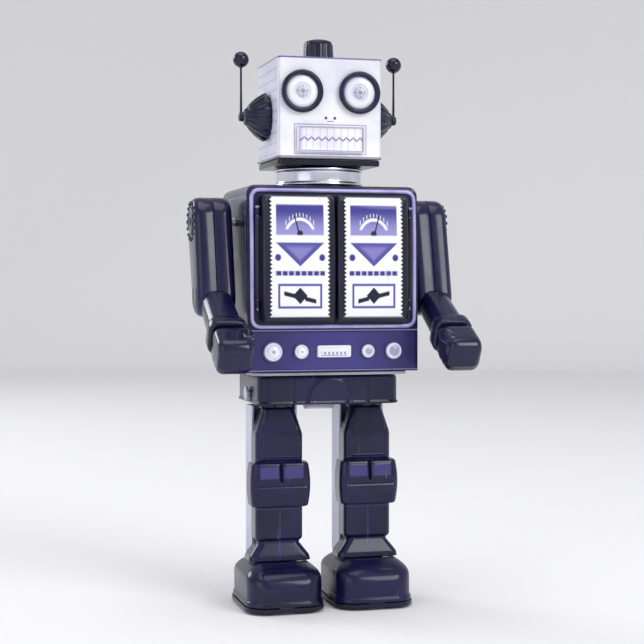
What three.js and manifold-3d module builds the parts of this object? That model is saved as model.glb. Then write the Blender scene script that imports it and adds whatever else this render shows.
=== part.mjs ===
// A clockwork tin robot: a square head with two antennae, a chest with two doors over the clockwork,
// a waist block with two swinging legs, and shoes that roll on ratcheted rollers.
// Millimetres, +Z up, front towards -Y. The origin is on the floor, midway between the shoes.
// "right" and "left" are the robot's own, so right is at -X.

import * as THREE from "three";
import { mergeVertices } from "three/addons/utils/BufferGeometryUtils.js";
import Module from "manifold-3d";

const wasm = await Module();
wasm.setup();

// ---------------------------------------------------------------- driving dimensions

const GAP = 0.3; // between pieces that touch
const RUN = 0.3; // round a turning shaft
const TIN = 0.8; // pressed sheet
const PLATE = 1.2; // motor plates and levers
const RIGHT = -1;
const LEFT = 1;

// shoes, soles and rollers
const SHOE_W = 33;
const SHOE_FRONT = 26; // ahead of the hip line
const SHOE_BACK = 16;
const SHOE_H = 16.6;
const SOLE_T = 1.6;
const SOLE_CLEAR = 1.1; // the sole over the floor
const ROLLER_R = 4.2;
const ROLLER_SIDES = 16;
const ROLLER_W = 7;
const ROLLER_REACH = 15.5; // ahead of the middle of the sole
const AXLE_R = 1;

// legs
const LEG_SPACING = 38.6;
const LEG_W = 20.5;
const LEG_SHELL_D = 10.5; // ahead of the hip line
const LEG_CHANNEL_D = 12.4; // behind it
const LEG_TOP = 84.4;
const HIP_Z = 90;
const HIP_R = 1.5;
const HIP_EAR_R = 6;
const KNEE_Z = 52;
const KNEE_H = 18.6;
const KNEE_W = 26;
const KNEE_D = 3.6; // stands out from the leg
const LEG_SWING = 5; // degrees each way
const ARM_RATIO = 2.5; // arm turn for each turn of the leg

// waist
const PELVIS_D = 40;
const PELVIS_H = 12.2;
const PELVIS_Z = 86;
const WAIST_D = 46;

// torso
const TORSO_W = 73;
const TORSO_D = 50;
const WAIST_W = TORSO_W - 6.4;
const PELVIS_W = TORSO_W - 11.5;
const TORSO_H = 77;
const TORSO_CORNER = 4;
const CHEST_BOW = 1.8; // how far the chest's top edge lies behind its fullest line
const CHEST_FULL = TORSO_H - 32; // height of the fullest line over the torso's foot
const TRIM_Z = 18; // over the torso's foot
const TRIM_W = TORSO_W - 2;
const TRIM_H = TORSO_H - TRIM_Z - 1.5;
const TRIM_LINE = 1.6;
const DOOR_W = TRIM_W / 2 - 4.8;
const DOOR_H = TRIM_H - 5.5;
const DOOR_T = 1;
const DOOR_OUT = 5.6; // the doors' faces stand this far out of the chest
const DOOR_BACK = 0.85; // the edges of their sides, which clear the chest as a door turns
const DOOR_GAP = 0.6; // between the two doors
const WINDOW_W = TORSO_W - 19;
const WINDOW_H = DOOR_H - 7;
const PIN_R = 0.5;
const KNUCKLE_R = 1.15;
const KNUCKLE_H = DOOR_H - 18;
const EAR_H = 3;
const HINGE_EAR_R = KNUCKLE_R - 0.15; // a turning door's side passes close outside the ears
const LAMP_Z = 8.5; // over the torso's foot
const LAMPS = [
  { name: "belt_lamp_1", x: -26, r: 4.2 },
  { name: "belt_lamp_2", x: -14, r: 3.2 },
  { name: "belt_lamp_3", x: 14.5, r: 3 },
  { name: "belt_lamp_4", x: 25.6, r: 3.7 },
];
const METER_W = 14.4;
const METER_H = 5;

// arms
const SHOULDER_DROP = 14.5; // under the torso's top
const SHOULDER_R = 10;
const ARM_CLEAR = 2.7; // between the torso and the arm
const ARM_W = 16;
const UPPER_ARM = 33;
const ELBOW_R = 8.2;
const FOREARM = 34;
const FOREARM_R = 6.6;
const CUFF_R = 8;
const CUFF_W = 6;
const HAND = 17;
const HAND_R = 8.2;
const ARM_TILT = 16; // degrees ahead of straight down
const ELBOW_BEND = 45;
const SHAFT_R = 2;

// neck and head
const NECK_R = 17.8;
const NECK_H = 8;
const BOSS_R = 7;
const HEAD_W = 45;
const HEAD_D = 40;
const HEAD_H = 42;
const HEAD_BASE_H = 2.4;
const HEAD_CORNER = 1.5;
const EYE_X = 12.3;
const EYE_Z = 27.5; // over the head's foot
const EYE_R = 8.9;
const EYE_LENS_R = 7;
const EYE_OUT = 2.2;
const MOUTH_W = 28.8;
const MOUTH_H = 11;
const MOUTH_Z = 8;
const CAP_R = 6.8;
const CAP_H = 9.6;
const EAR_R = 10.3;
const EAR_OUT = 9.6;
const EAR_TIP_R = 3.3;
const EAR_Z = 18.5; // over the head's foot
const WIRE_R = 0.6;
const WIRE_H = 24;
const BALL_R = 3.4;

// clockwork
const CRANK_Z = 122;
const CRANK_R = 1.5;
const THROW = (CRANK_Z - HIP_Z) * Math.sin(THREE.MathUtils.degToRad(LEG_SWING));
const CRANK_PIN_R = 1;
const CHEEK_X = 12.9; // inside of the motor frame's cheeks
const DISC_R = 5;
const DISC_T = 1.5;
const CROWN_TEETH = 30;
const CROWN_MODULE = 0.7;
const CRANK_TEETH = 10;
const CROWN_FACE = 1.8; // teeth, along the radius
const RIM_TEETH = 40;
const RIM_MODULE = 0.6;
const SECOND_PINION_TEETH = 9;
const SECOND_TEETH = 36;
const SECOND_MODULE = 0.5;
const FLY_PINION_TEETH = 8;
const ARBOR_R = 1;
const SPRING_R = 11.5;
const SPRING_TURNS = 5;
const KEY_Y = 31; // the key's bow behind the back cover
const BACK_PLATE_Y = 16.6;
const FRONT_PLATE_Y = -9;

// ---------------------------------------------------------------- derived places

const ROLLER_Z = ROLLER_R * Math.cos(Math.PI / ROLLER_SIDES);
const SOLE_Z = SOLE_CLEAR;
const SHOE_Z = SOLE_Z + SOLE_T + GAP;
const SHOE_TOP = SHOE_Z + SHOE_H;
const LEG_Z = SHOE_TOP + GAP;
const LEG_X = LEG_SPACING / 2;
const SHOE_MID = (SHOE_BACK - SHOE_FRONT) / 2;
const WAIST_Z = PELVIS_Z + PELVIS_H + GAP;
const TORSO_Z = WAIST_Z + PLATE + GAP;
const TORSO_TOP = TORSO_Z + TORSO_H;
const NECK_Z = TORSO_TOP + GAP;
const SHOULDER_Z = TORSO_TOP - SHOULDER_DROP;
const ARM_X = TORSO_W / 2 + ARM_CLEAR + ARM_W / 2;
const HEAD_BASE_Z = NECK_Z + NECK_H + GAP;
const HEAD_Z = HEAD_BASE_Z + HEAD_BASE_H + GAP;
const HEAD_TOP = HEAD_Z + HEAD_H;
const DOOR_MID = TORSO_Z + TRIM_Z + TRIM_H / 2;
const HINGE_X = DOOR_GAP / 2 + DOOR_W + GAP + KNUCKLE_R;
const HINGE_Y = -TORSO_D / 2 - GAP - KNUCKLE_R;
const LEVER_X = LEG_X; // the walking lever's plate is on the leg's middle
const FORK_X = LEVER_X + PLATE / 2 + 0.9;
// the lever's pin lies where leg and arm move the same way, as the ratio says
const LINK_Z = HIP_Z + ((SHOULDER_Z - HIP_Z) * ARM_RATIO) / (1 + ARM_RATIO);
const LINK_R = 1;
const LINK_CLEAR = 0.6;
const CRANK_PITCH = (CRANK_TEETH * CROWN_MODULE) / 2;
const CROWN_Y = CRANK_PITCH; // the crown wheel's pitch plane
const CROWN_R = (CROWN_TEETH * CROWN_MODULE) / 2;
const RIM_R = (RIM_TEETH * RIM_MODULE) / 2;
const SECOND_Z = CRANK_Z + RIM_R + (SECOND_PINION_TEETH * RIM_MODULE) / 2 + 0.15;
const FLY_Z = SECOND_Z + ((SECOND_TEETH + FLY_PINION_TEETH) * SECOND_MODULE) / 2 + 0.15;
const WHEEL_Y = CROWN_Y + CROWN_MODULE; // the front of the great wheel's disc
const WHEEL_T = 1.6;

// ---------------------------------------------------------------- materials

const material = (color, roughness, metalness) =>
  new THREE.MeshStandardMaterial({ color, roughness, metalness });
const navy = material(0x17164a, 0.3, 0.4);
const ink = material(0x0c0b26, 0.35, 0.3);
const white = material(0xeeeef4, 0.35, 0.2);
const silver = material(0xb9bad0, 0.3, 0.9);
const chrome = material(0xe8e8ee, 0.12, 1);
const steel = material(0x8d8f9a, 0.4, 0.9);
const brass = material(0xb08d3c, 0.35, 0.9);
const plastic = material(0x121130, 0.3, 0);
const jewel = material(0xf2f2fa, 0.15, 0);

// ---------------------------------------------------------------- solids

/** The manifold-3d solid of a closed three.js geometry. */
function solidOf(geometry) {
  const bare = geometry.index ? geometry.toNonIndexed() : geometry.clone();
  bare.deleteAttribute("normal");
  bare.deleteAttribute("uv");
  const merged = mergeVertices(bare, 1e-4);
  return new wasm.Manifold(
    new wasm.Mesh({
      numProp: 3,
      vertProperties: merged.attributes.position.array,
      triVerts: new Uint32Array(merged.index.array),
    }),
  );
}

/** The three.js geometry of a manifold-3d solid. */
function geometryOf(solid) {
  const { numProp, vertProperties, triVerts } = solid.getMesh();
  const position = new Float32Array((vertProperties.length / numProp) * 3);
  for (let i = 0; i < position.length / 3; i++) {
    position.set(vertProperties.subarray(i * numProp, i * numProp + 3), i * 3);
  }
  const geometry = new THREE.BufferGeometry();
  geometry.setAttribute("position", new THREE.BufferAttribute(position, 3));
  geometry.setIndex(new THREE.BufferAttribute(triVerts, 1));
  geometry.computeVertexNormals();
  return geometry;
}

/** A named mesh of a solid. */
function piece(name, solid, surface) {
  const mesh = new THREE.Mesh(geometryOf(solid), surface);
  mesh.name = name;
  return mesh;
}

const join = (first, ...rest) => rest.reduce((sum, next) => sum.add(next), first);
const cut = (first, ...rest) => rest.reduce((left, next) => left.subtract(next), first);

/** The matrix that lays a drawing's u, v and its depth along the part's axes. */
const LAY = {
  x: new THREE.Matrix4().makeBasis(
    new THREE.Vector3(0, 1, 0),
    new THREE.Vector3(0, 0, 1),
    new THREE.Vector3(1, 0, 0),
  ),
  y: new THREE.Matrix4().makeBasis(
    new THREE.Vector3(1, 0, 0),
    new THREE.Vector3(0, 0, 1),
    new THREE.Vector3(0, -1, 0),
  ),
  z: new THREE.Matrix4(),
};

/** A drawing made solid from one place to another along an axis: x takes (y, z), y takes (x, z), z takes (x, y). */
function sheet(shape, axis, from, to, curveSegments = 6) {
  const geometry = new THREE.ExtrudeGeometry(shape, {
    depth: to - from,
    bevelEnabled: false,
    curveSegments,
  });
  geometry.applyMatrix4(LAY[axis]);
  const start = { x: [from, 0, 0], y: [0, to, 0], z: [0, 0, from] }[axis];
  geometry.translate(...start);
  return solidOf(geometry);
}

/** A block between two corners. */
function block(x0, x1, y0, y1, z0, z1) {
  const geometry = new THREE.BoxGeometry(x1 - x0, y1 - y0, z1 - z0);
  geometry.translate((x0 + x1) / 2, (y0 + y1) / 2, (z0 + z1) / 2);
  return solidOf(geometry);
}

/** The two ends, low first, of a stretch of x given for the left side. */
const span = (side, from, to) => (side < 0 ? [-to, -from] : [from, to]);

/** A round bar along an axis, centred at (u, v) in the other two. */
function bar(axis, radius, from, to, u = 0, v = 0, sides = 16) {
  const shape = new THREE.Shape();
  for (let i = 0; i < sides; i++) {
    const a = ((i + 0.5) * 2 * Math.PI) / sides;
    const point = [u + radius * Math.cos(a), v + radius * Math.sin(a)];
    if (i) shape.lineTo(...point);
    else shape.moveTo(...point);
  }
  shape.closePath();
  return sheet(shape, axis, from, to);
}

/** A solid of revolution from [radius, height] points that start and end on the axis. */
function turned(profile, sides = 20) {
  const points = profile.map(([r, h]) => new THREE.Vector2(r, h));
  const geometry = new THREE.LatheGeometry(points, sides);
  geometry.rotateX(Math.PI / 2); // its axis is +Z now
  return solidOf(geometry);
}

/** A rectangle with round corners, centred at (u, v). */
function roundedRectangle(width, height, radius, u = 0, v = 0) {
  const [w, h] = [width / 2 - radius, height / 2 - radius];
  const shape = new THREE.Shape();
  shape.absarc(u + w, v + h, radius, 0, Math.PI / 2);
  shape.absarc(u - w, v + h, radius, Math.PI / 2, Math.PI);
  shape.absarc(u - w, v - h, radius, Math.PI, 1.5 * Math.PI);
  shape.absarc(u + w, v - h, radius, 1.5 * Math.PI, 2 * Math.PI);
  shape.closePath();
  return shape;
}

/** Two circles and the straight sides between them, from (u0, v0) to (u1, v1). */
function stadium(u0, v0, r0, u1, v1, r1) {
  const along = Math.atan2(v1 - v0, u1 - u0);
  const lean = Math.acos((r0 - r1) / Math.hypot(u1 - u0, v1 - v0));
  const shape = new THREE.Shape();
  shape.absarc(u0, v0, r0, along + lean, along - lean + 2 * Math.PI);
  shape.absarc(u1, v1, r1, along - lean, along + lean);
  shape.closePath();
  return shape;
}

/** A gear's outline: straight-sided teeth, thinned for backlash. */
function gearOutline(teeth, module, tip = 0.75, root = 1.0, thick = 0.42) {
  const pitch = (teeth * module) / 2;
  const step = (2 * Math.PI) / teeth;
  const shape = new THREE.Shape();
  for (let i = 0; i < teeth; i++) {
    const corners = [
      [-0.5 * thick - 0.1, -root],
      [-0.5 * thick + 0.09, tip],
      [0.5 * thick - 0.09, tip],
      [0.5 * thick + 0.1, -root],
    ];
    corners.forEach(([share, depth], k) => {
      const a = (i + share) * step;
      const r = pitch + depth * module;
      const point = [r * Math.cos(a), r * Math.sin(a)];
      if (i || k) shape.lineTo(...point);
      else shape.moveTo(...point);
    });
  }
  shape.closePath();
  return shape;
}

/** A gear made solid along an axis, turned by phase, centred at (u, v). */
function gear(axis, teeth, module, from, to, u, v, phase = 0, tip = 0.75) {
  const flat = gearOutline(teeth, module, tip).getPoints();
  const moved = flat.map((p) => p.rotateAround(new THREE.Vector2(), phase).add(new THREE.Vector2(u, v)));
  return sheet(new THREE.Shape(moved), axis, from, to);
}

// ---------------------------------------------------------------- torso

/** Where the chest's outer face is at a height over the torso's foot: upright, then a shallow parabola. */
const chestY = (height) => {
  const share = Math.max((height - CHEST_FULL) / (TORSO_H - CHEST_FULL), 0);
  return -TORSO_D / 2 + CHEST_BOW * share * share;
};

/** Points (y, z) of the chest's face between two heights, moved out by an offset. */
function chestLine(low, high, out, steps = 6) {
  return Array.from({ length: steps + 1 }, (_, i) => {
    const height = low + ((high - low) * i) / steps;
    return new THREE.Vector2(chestY(height) - out, TORSO_Z + height);
  });
}

/** A layer on the chest's face, between two offsets and two heights, as wide as the torso. */
function chestLayer(low, high, inner, outer) {
  const points = [...chestLine(low, high, outer), ...chestLine(low, high, inner).reverse()];
  return sheet(new THREE.Shape(points), "x", -TORSO_W, TORSO_W);
}

/** The torso's outer form, made smaller all round by an inset. */
function torsoForm(inset) {
  const top = TORSO_TOP - inset;
  const round = TORSO_CORNER * 0.6;
  const shape = new THREE.Shape();
  const face = chestLine(0, TORSO_H - round, -inset);
  shape.moveTo(TORSO_D / 2 - inset, TORSO_Z);
  shape.lineTo(TORSO_D / 2 - inset, top - round);
  shape.quadraticCurveTo(TORSO_D / 2 - inset, top, TORSO_D / 2 - inset - round, top);
  shape.lineTo(face.at(-1).x + round, top);
  shape.quadraticCurveTo(face.at(-1).x, top, face.at(-1).x, face.at(-1).y);
  face.reverse().forEach((p) => shape.lineTo(p.x, p.y));
  shape.closePath();
  const side = sheet(shape, "x", -TORSO_W / 2 + inset, TORSO_W / 2 - inset, 3);
  const height = TORSO_H - inset + TORSO_CORNER;
  const front = roundedRectangle(
    TORSO_W - 2 * inset, height, TORSO_CORNER, 0, TORSO_Z - TORSO_CORNER + height / 2,
  );
  return side.intersect(sheet(front, "y", -TORSO_D, TORSO_D, 4));
}

function torso() {
  const group = new THREE.Group();
  const under = block(-TORSO_W, TORSO_W, -TORSO_D, TORSO_D, TORSO_Z - 20, TORSO_Z + 0.01);
  const backOpen = sheet(
    roundedRectangle(TORSO_W - 8, TORSO_H - 9, 3, 0, TORSO_Z + TORSO_H / 2), "y", 20, TORSO_D,
  );
  const window = sheet(
    roundedRectangle(WINDOW_W, WINDOW_H, 3, 0, DOOR_MID), "y", -TORSO_D, -18,
  );
  const ears = [RIGHT, LEFT].flatMap((side) =>
    [-1, 1].flatMap((end) => {
      const z = DOOR_MID + end * (KNUCKLE_H / 2 + GAP + EAR_H / 2);
      const x = side * HINGE_X;
      return [
        bar("z", HINGE_EAR_R, z - EAR_H / 2, z + EAR_H / 2, x, HINGE_Y, 12),
        block(x - HINGE_EAR_R, x + HINGE_EAR_R, HINGE_Y, -TORSO_D / 2 + TIN, z - EAR_H / 2, z + EAR_H / 2),
      ];
    }),
  );
  const pinHoles = [RIGHT, LEFT].map((side) =>
    bar("z", PIN_R + GAP / 2, DOOR_MID - 30, DOOR_MID + 30, side * HINGE_X, HINGE_Y, 10),
  );
  const lampHoles = LAMPS.map(({ x, r }) =>
    bar("y", r * 0.6 + GAP, -TORSO_D, -18, x, TORSO_Z + LAMP_Z, 12),
  );
  const shell = cut(
    join(torsoForm(0), ...ears),
    torsoForm(TIN),
    under,
    backOpen,
    window,
    bar("z", BOSS_R + RUN, TORSO_TOP - 10, TORSO_TOP + 5, 0, 0, 20),
    bar("x", SHAFT_R + RUN, -TORSO_W, TORSO_W, 0, SHOULDER_Z, 12),
    block(-METER_W / 2 + 1, METER_W / 2 - 1, -TORSO_D, -18, TORSO_Z + LAMP_Z - 1.5, TORSO_Z + LAMP_Z + 1.5),
    ...pinHoles,
    ...lampHoles,
  );
  group.add(piece("torso_shell", shell, navy));

  const cover = cut(
    join(
      sheet(
        roundedRectangle(TORSO_W - 5, TORSO_H - 6, 4, 0, TORSO_Z + TORSO_H / 2),
        "y", TORSO_D / 2 + GAP, TORSO_D / 2 + GAP + TIN,
      ),
      sheet(
        roundedRectangle(TORSO_W - 12, TORSO_H - 13, 3, 0, TORSO_Z + TORSO_H / 2),
        "y", TORSO_D / 2 + GAP, TORSO_D / 2 + GAP + 2 * TIN,
      ),
    ),
    bar("y", ARBOR_R + 1.2, 0, TORSO_D, 0, CRANK_Z, 14),
    block(-4.5, 9.5, 0, TORSO_D, FLY_Z - 1.3, FLY_Z + 1.3),
  );
  group.add(piece("back_cover", cover, navy));

  const outline = roundedRectangle(TRIM_W, TRIM_H, 4, 0, DOOR_MID);
  const hole = roundedRectangle(TRIM_W - 2 * TRIM_LINE, TRIM_H - 2 * TRIM_LINE, 2.6, 0, DOOR_MID);
  const trim = cut(
    sheet(outline, "y", -TORSO_D, 0, 4),
    sheet(hole, "y", -TORSO_D - 1, 1, 4),
  ).intersect(chestLayer(TRIM_Z - 3, TORSO_H - 0.5, GAP, GAP + 1.1));
  group.add(piece("chest_trim", trim, silver));

  const neck = turned([
    [BOSS_R + 1, 0], [NECK_R + 1.2, 0], [NECK_R + 1.2, 1], [NECK_R, 1.5], [NECK_R, NECK_H - 1.5],
    [NECK_R + 0.9, NECK_H - 1], [NECK_R + 0.9, NECK_H], [BOSS_R + 1, NECK_H], [BOSS_R + 1, 0],
  ], 32).translate([0, 0, NECK_Z]);
  group.add(piece("neck_collar", neck, chrome));

  const slot = (side, halfWidth, from, to) =>
    block(side * LEVER_X - halfWidth, side * LEVER_X + halfWidth, -7.5, 7.5, from, to);
  const waist = cut(
    sheet(roundedRectangle(WAIST_W, WAIST_D, 5), "z", WAIST_Z, WAIST_Z + PLATE, 4),
    slot(RIGHT, 2, WAIST_Z - 1, WAIST_Z + 3),
    slot(LEFT, 2, WAIST_Z - 1, WAIST_Z + 3),
  );
  group.add(piece("waist_plate", waist, steel));

  const pelvisBox = (inset, low, high) =>
    sheet(roundedRectangle(PELVIS_W - 2 * inset, PELVIS_D - 2 * inset, 5 - inset), "z", low, high, 4);
  const pelvis = cut(
    pelvisBox(0, PELVIS_Z, PELVIS_Z + PELVIS_H),
    pelvisBox(PLATE, PELVIS_Z - 1, PELVIS_Z + PELVIS_H - PLATE),
    bar("x", HIP_R + GAP, -PELVIS_W, PELVIS_W, 0, HIP_Z, 12),
    slot(RIGHT, 2, PELVIS_Z, WAIST_Z + 3),
    slot(LEFT, 2, PELVIS_Z, WAIST_Z + 3),
  );
  group.add(piece("pelvis_shell", pelvis, navy));

  const hipEnd = PELVIS_W / 2 + 1.4;
  const axle = join(
    bar("x", HIP_R, -hipEnd, hipEnd, 0, HIP_Z, 12),
    bar("x", HIP_R + 1.5, PELVIS_W / 2 + GAP, hipEnd, 0, HIP_Z, 12),
    bar("x", HIP_R + 1.5, -hipEnd, -PELVIS_W / 2 - GAP, 0, HIP_Z, 12),
    bar("x", 6.3, -6, 6, 0, HIP_Z - 1, 18),
  );
  group.add(piece("hip_axle", axle, silver));

  for (const { name, x, r } of LAMPS) {
    const lamp = turned([
      [0, 0], [r * 0.6, 0], [r * 0.6, 1.6], [r, 1.6], [r, 2.4], [r * 0.82, 3.3], [r * 0.45, 3.9], [0, 4.1],
    ], 16).rotate([90, 0, 0]).translate([x, chestY(LAMP_Z) + 1.6 - GAP, TORSO_Z + LAMP_Z]);
    group.add(piece(name, lamp, jewel));
  }
  const meter = join(
    sheet(
      roundedRectangle(METER_W, METER_H, 0.8, 0, TORSO_Z + LAMP_Z),
      "y", chestY(LAMP_Z) - GAP - 1.2, chestY(LAMP_Z) - GAP, 2,
    ),
    block(
      -METER_W / 2 + 1 + GAP, METER_W / 2 - 1 - GAP, chestY(LAMP_Z) - GAP - 0.2, chestY(LAMP_Z) + 1.4,
      TORSO_Z + LAMP_Z - 1.5 + GAP, TORSO_Z + LAMP_Z + 1.5 - GAP,
    ),
  );
  group.add(piece("belt_window", meter, white));
  return group;
}

/** A chest door with its hinge pin. The pin belongs to the torso. */
function door(side, word) {
  const group = new THREE.Group();
  const edge = DOOR_GAP / 2;
  const reach = edge + DOOR_W;
  const [x0, x1] = span(side, edge, reach);
  const low = TRIM_Z + (TRIM_H - DOOR_H) / 2;
  const leafTop = DOOR_MID + DOOR_H / 2;
  const tray = chestLayer(low - 2, low + DOOR_H + 2, DOOR_BACK, DOOR_OUT).intersect(
    block(x0, x1, -TORSO_D, 0, leafTop - DOOR_H, leafTop),
  );
  const hollow = chestLayer(low - 2, low + DOOR_H + 2, -2, DOOR_OUT - DOOR_T).intersect(
    block(x0 + DOOR_T, x1 - DOOR_T, -TORSO_D, 0, leafTop - DOOR_H + DOOR_T, leafTop - DOOR_T),
  );
  const strap = block(
    ...span(side, reach - DOOR_T, HINGE_X),
    HINGE_Y - 0.6, HINGE_Y + 0.6, DOOR_MID - KNUCKLE_H / 2, DOOR_MID + KNUCKLE_H / 2,
  );
  const knuckle = bar(
    "z", KNUCKLE_R, DOOR_MID - KNUCKLE_H / 2, DOOR_MID + KNUCKLE_H / 2, side * HINGE_X, HINGE_Y, 12,
  );
  const hole = bar("z", PIN_R + RUN, DOOR_MID - 30, DOOR_MID + 30, side * HINGE_X, HINGE_Y, 10);
  group.add(piece(`${word}_door`, cut(join(cut(tray, hollow), strap, knuckle), hole), ink));
  const reachZ = KNUCKLE_H / 2 + GAP + EAR_H + 1;
  const pin = join(
    bar("z", PIN_R, DOOR_MID - reachZ, DOOR_MID + reachZ, side * HINGE_X, HINGE_Y, 10),
    bar("z", PIN_R + 0.6, DOOR_MID + reachZ - 0.7, DOOR_MID + reachZ, side * HINGE_X, HINGE_Y, 10),
  );
  group.add(piece(`${word}_door_pin`, pin, steel));
  return group;
}

// ---------------------------------------------------------------- head, in its own group on the neck

function head() {
  const group = new THREE.Group();
  group.position.z = HEAD_BASE_Z;
  const foot = HEAD_Z - HEAD_BASE_Z;
  const face = -HEAD_D / 2;
  const box = (inset, low, high) =>
    sheet(roundedRectangle(HEAD_W - 2 * inset, HEAD_D - 2 * inset, HEAD_CORNER), "z", low, high, 3);
  const shell = cut(
    box(0, foot, foot + HEAD_H),
    box(TIN, foot - 1, foot + HEAD_H - TIN),
    ...[RIGHT, LEFT].map((side) => bar("y", EYE_LENS_R - 1, -HEAD_D, -10, side * EYE_X, foot + EYE_Z, 20)),
    bar("z", CAP_R - 1.5, foot + 20, foot + HEAD_H + 5, 0, 0, 16),
    bar("x", 1.6 + RUN, -HEAD_W, HEAD_W, 0, foot + EAR_Z, 12),
  );
  group.add(piece("head_shell", shell, white));

  const base = cut(
    join(
      sheet(roundedRectangle(HEAD_W - 1, HEAD_D - 1, 2.5), "z", 0, HEAD_BASE_H, 3),
      bar("z", BOSS_R, -NECK_H - TIN - 3 * GAP - 1.2, HEAD_BASE_H, 0, 0, 20),
      bar("z", BOSS_R + 2, -NECK_H - TIN - 3 * GAP - 2.4, -NECK_H - TIN - 3 * GAP - 1.2, 0, 0, 20),
    ),
    bar("z", BOSS_R - 1.4, -NECK_H - 8, HEAD_BASE_H + 1, 0, 0, 20),
  );
  group.add(piece("head_base", base, ink));

  [[RIGHT, "right"], [LEFT, "left"]].forEach(([side, word]) => {
    const ring = cut(
      bar("y", EYE_R, face - GAP - EYE_OUT, face - GAP, side * EYE_X, foot + EYE_Z, 32),
      bar("y", EYE_LENS_R, face - 10, face + 1, side * EYE_X, foot + EYE_Z, 32),
    );
    group.add(piece(`${word}_eye_ring`, ring, navy));
    const r = EYE_LENS_R - GAP;
    const lens = turned([
      [0, 0], [r, 0], [r, 0.7], [r * 0.8, 1], [r * 0.36, 1.1], [r * 0.32, 1.7], [0, 2],
    ], 24).rotate([90, 0, 0]).translate([side * EYE_X, face - GAP, foot + EYE_Z]);
    group.add(piece(`${word}_eye_lens`, lens, white));
    group.add(antenna(side, word, foot));
  });

  const rows = [-1, 1].map((row) =>
    block(
      -MOUTH_W / 2 + 1.2, MOUTH_W / 2 - 1.2, face - 5, face - GAP - 0.8,
      foot + MOUTH_Z + row * 2.45 - 1.9, foot + MOUTH_Z + row * 2.45 + 1.9,
    ),
  );
  const mouth = cut(
    sheet(
      roundedRectangle(MOUTH_W, MOUTH_H, 0.6, 0, foot + MOUTH_Z), "y", face - GAP - 1.4, face - GAP, 2,
    ),
    ...rows,
  );
  group.add(piece("mouth_grille", mouth, white));

  const cap = turned([
    [0, 0], [CAP_R + 0.7, 0], [CAP_R + 0.7, 1.1], [CAP_R, 1.5], [CAP_R - 0.5, CAP_H - 2.2],
    [CAP_R - 1.3, CAP_H - 0.7], [CAP_R - 3, CAP_H], [0, CAP_H],
  ], 24).translate([0, 0, foot + HEAD_H + GAP]);
  group.add(piece("lamp_cap", cap, navy));
  return group;
}

/** An ear cup with its pivot stub, and the antenna wire with its ball. */
function antenna(side, word, foot) {
  const group = new THREE.Group();
  group.position.set(side * (HEAD_W / 2 + GAP), 0, foot + EAR_Z);
  const out = (solid) => solid.rotate([0, side * 90, 0]);
  const cup = out(turned([
    [0, -3.4], [2.8, -3.4], [2.8, -2.4], [1.6, -2.4], [1.6, 0], [EAR_R - 1, 0], [EAR_R, 0.9],
    [EAR_R * 0.93, 2.6], [EAR_R * 0.75, 5], [EAR_TIP_R + 1.4, 7.9], [EAR_TIP_R, EAR_OUT], [0, EAR_OUT],
  ], 20));
  group.add(piece(`${word}_ear_cup`, cup, ink));
  const x = EAR_OUT + GAP + 1;
  const wire = join(
    out(turned([[0, EAR_OUT + GAP], [2, EAR_OUT + GAP], [2, x + 1], [0, x + 1]], 12)),
    bar("z", WIRE_R, 0, WIRE_H, side * x, 0, 8),
    solidOf(new THREE.IcosahedronGeometry(BALL_R, 2).translate(side * x, 0, WIRE_H)),
  );
  group.add(piece(`${word}_antenna`, wire, ink));
  return group;
}

// ---------------------------------------------------------------- arms, in a group on the shoulder's axis

/** A drawing (y, z) made solid along x with rounded edges. */
function cushion(shape, from, to, round) {
  const geometry = new THREE.ExtrudeGeometry(shape, {
    depth: to - from - 2 * round,
    bevelThickness: round,
    bevelSize: round,
    bevelOffset: -round,
    bevelSegments: 2,
    curveSegments: 6,
  });
  geometry.applyMatrix4(LAY.x);
  geometry.translate(from + round, 0, 0);
  return solidOf(geometry);
}

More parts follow.
